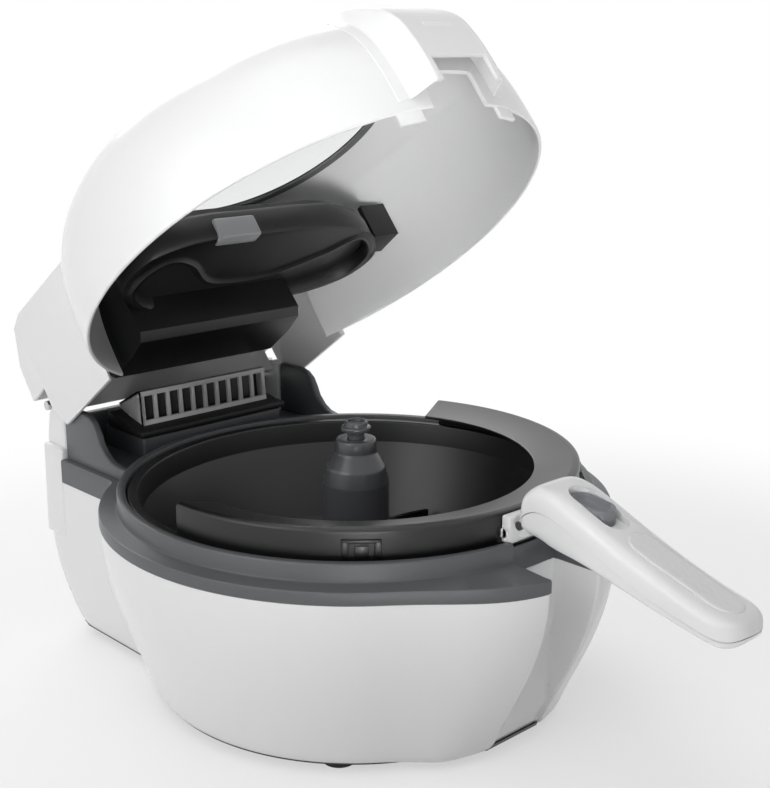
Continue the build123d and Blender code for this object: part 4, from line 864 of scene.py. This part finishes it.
# Filter and air duct under the lid
# A kidney-shaped black frame holds the grease filter under a black duct that takes the hot air
# back to the blower; a light grey tab frees the frame.
FILTER_LOW, FILTER_HIGH = 148.0, 168.0
KIDNEY = [(-92, 62), (-90, 34), (-72, 20), (-50, 15), (-20, 15), (20, 15), (52, 19), (80, 34), (104, 61), (98, 88),
          (68, 103), (20, 105), (-24, 104), (-64, 96)]
MOUTH = [(-81, 70), (-84, 50), (-74, 35), (-56, 42), (-30, 66), (12, 68), (48, 50), (70, 34), (92, 56), (88, 82),
         (62, 94), (20, 97), (-22, 96), (-60, 88)]


def closed_curve(corners, per_corner=10):
    """A smooth closed curve through points."""
    line = []
    count = len(corners)
    for i in range(count):
        p0, p1, p2, p3 = (Vector(corners[(i + k - 1) % count]) for k in range(4))
        for k in range(per_corner):
            t = k / per_corner
            line.append(0.5 * (2 * p1 + (p2 - p0) * t + (2 * p0 - 5 * p1 + 4 * p2 - p3) * t * t
                               + (3 * p1 - p0 - 3 * p2 + p3) * t ** 3))
    return line


def shrunk(line, inset):
    """A closed line moved inwards."""
    result = []
    for i, p in enumerate(line):
        way = line[(i + 1) % len(line)] - line[i - 1]
        result.append(p + Vector((way.y, -way.x)).normalized() * inset * -1)
    area = sum(a.x * b.y - b.x * a.y for a, b in zip(line, line[1:] + line[:1]))
    if area < 0:
        result = [2 * p - q for p, q in zip(line, result)]
    return result


kidney, mouth = closed_curve(KIDNEY), closed_curve(MOUTH)
black_duct = moulded_plastic("black_duct_nylon", "#0c0c0d", 0.45, 1.0, 0.15)
frame_levels = [(kidney, 2.0, FILTER_HIGH), (kidney, 0.0, FILTER_HIGH - 3), (kidney, 0.0, FILTER_LOW + 5),
                (kidney, 1.4, FILTER_LOW + 2.4), (kidney, 4.0, FILTER_LOW + 1.6), (mouth, -5.5, FILTER_LOW + 2.2),
                (mouth, -3.4, FILTER_LOW + 1.4), (mouth, -1.8, FILTER_LOW), (mouth, 0.4, FILTER_LOW),
                (mouth, 1.6, FILTER_LOW + 1.4), (mouth, 2.0, FILTER_LOW + 9.0)]
rings = [[Vector((p.x, p.y, z)) for p in shrunk(line, inset)] for line, inset, z in frame_levels]
add_piece("filter_frame_black", opened(stacked(rings)), black_duct, "lid", ("filter_frame",), 40)
MESH_INSET, MESH_LOW, MESH_HIGH, WEAVE_PITCH = 1.9, 8.2, 9.0, 1.2
mesh_rings = [[Vector((p.x, p.y, FILTER_LOW + rise)) for p in shrunk(mouth, MESH_INSET)]
              for rise in (MESH_LOW, MESH_HIGH)]
wire = bpy.data.materials.new("dark_filter_mesh")
wire.use_nodes = True
tree = wire.node_tree
place = add_node(tree, "ShaderNodeTexCoord")
weave = add_node(tree, "ShaderNodeTexChecker", Vector=place.outputs["Object"], Scale=1000 / WEAVE_PITCH,
                 Color1=linear("#101011"), Color2=linear("#2c2c2e"))
tree.links.new(weave.outputs["Color"], tree.nodes["Principled BSDF"].inputs["Base Color"])
tree.nodes["Principled BSDF"].inputs["Roughness"].default_value = 0.45
tree.nodes["Principled BSDF"].inputs["IOR"].default_value = 1.5
add_piece("filter_mesh_dark", opened(stacked(mesh_rings, caps=True)), wire, "lid", ("filter_mesh",))

DUCT_HIGH = 178.0
upper_levels = [(8.0, FILTER_HIGH - 1), (9.0, DUCT_HIGH - 3), (14.0, DUCT_HIGH), (24.0, DUCT_HIGH + 1)]
rings = [[Vector((p.x, p.y, z)) for p in shrunk(kidney, inset)] for inset, z in upper_levels]
skirt = [(88, 172), (86, 134), (90, 129), (104, 127), (130, 127), (134, 131), (134, 180), (100, 182)]
duct = add_piece("air_duct_black", opened(joined([stacked(rings, caps=True), side_block(skirt, -76, 44)])),
                 black_duct, "lid", ("lid_duct",), 40)
rounded_edges(duct, 1.4)
tab = box_block(-50, -21, 12.4, 22, FILTER_LOW + 0.6, FILTER_HIGH - 6)
tab_grey = moulded_plastic("light_grey_tab_plastic", "#8d8f90", 0.35, 0.8, 0.1)
tab_piece = add_piece("filter_tab_grey", opened(tab), tab_grey, "lid", ("filter_tab",))
rounded_edges(tab_piece, 1.6)
softened("duct_brackets", 1.0, black_duct, "duct_brackets_black")

# Latch hooks
# Two tongues under the rim of the lid that snap into the base; they hang from the raised edge.
HOOK_LIFT = 6.0
hooks = softened("latch_hooks", 0.4, white_abs, "latch_hooks_white")
lift = Vector((0, sin(radians(LID_ANGLE)), cos(radians(LID_ANGLE)))) * HOOK_LIFT / 1000
for vertex in hooks.data.vertices:
    vertex.co += lift

# Pieces carried over as packed
# Steel pins, screws and hooks, the drive, the underside and what is hidden inside: each gets the
# finish of its real material.
steel = bpy.data.materials.new("bright_steel")
steel.use_nodes = True
tree = steel.node_tree
place = add_node(tree, "ShaderNodeTexCoord")
lines = add_node(tree, "ShaderNodeTexNoise", Vector=place.outputs["Object"], Scale=900.0, Detail=2.0)
bump = add_node(tree, "ShaderNodeBump", Height=lines.outputs["Fac"], Strength=0.1, Distance=0.0001)
tree.links.new(bump.outputs[0], tree.nodes["Principled BSDF"].inputs["Normal"])
tree.nodes["Principled BSDF"].inputs["Base Color"].default_value = linear("#c9cacc")
tree.nodes["Principled BSDF"].inputs["Metallic"].default_value = 1.0
tree.nodes["Principled BSDF"].inputs["Roughness"].default_value = 0.28
pressed_aluminium = steel.copy()
pressed_aluminium.name = "pressed_aluminium"
pressed_aluminium.node_tree.nodes["Principled BSDF"].inputs["Base Color"].default_value = linear("#8f9092")
pressed_aluminium.node_tree.nodes["Principled BSDF"].inputs["Roughness"].default_value = 0.4
circuit_green = moulded_plastic("circuit_board", "#1f4a33", 0.5, 0.6, 0.1, 1.5)
CARRIED = {
    steel: ("hinge_pins", "base_screws", "bracket_screws", "pivot_pin", "drive_shaft", "slider_spring",
            "lid_screws", "heating_element", "stir_motor", "fan_motor"),
    pressed_aluminium: ("well_liner", "heater_duct", "fan_impeller", "blower_housing", "stir_gearbox"),
    black_nylon: ("bottom_plate", "power_inlet", "paddle_arms"),
    rubber: ("rubber_feet", "shaft_seal"),
    white_abs: ("hinge_knuckles", "lid_release_button"),
    grey_plastic: ("start_button", "timer_plus_button", "timer_minus_button"),
    circuit_green: ("control_board",),
}
for material, nodes in CARRIED.items():
    for node in nodes:
        carried = frame["nodes"][node]
        carried.data.materials.clear()
        carried.data.materials.append(material)
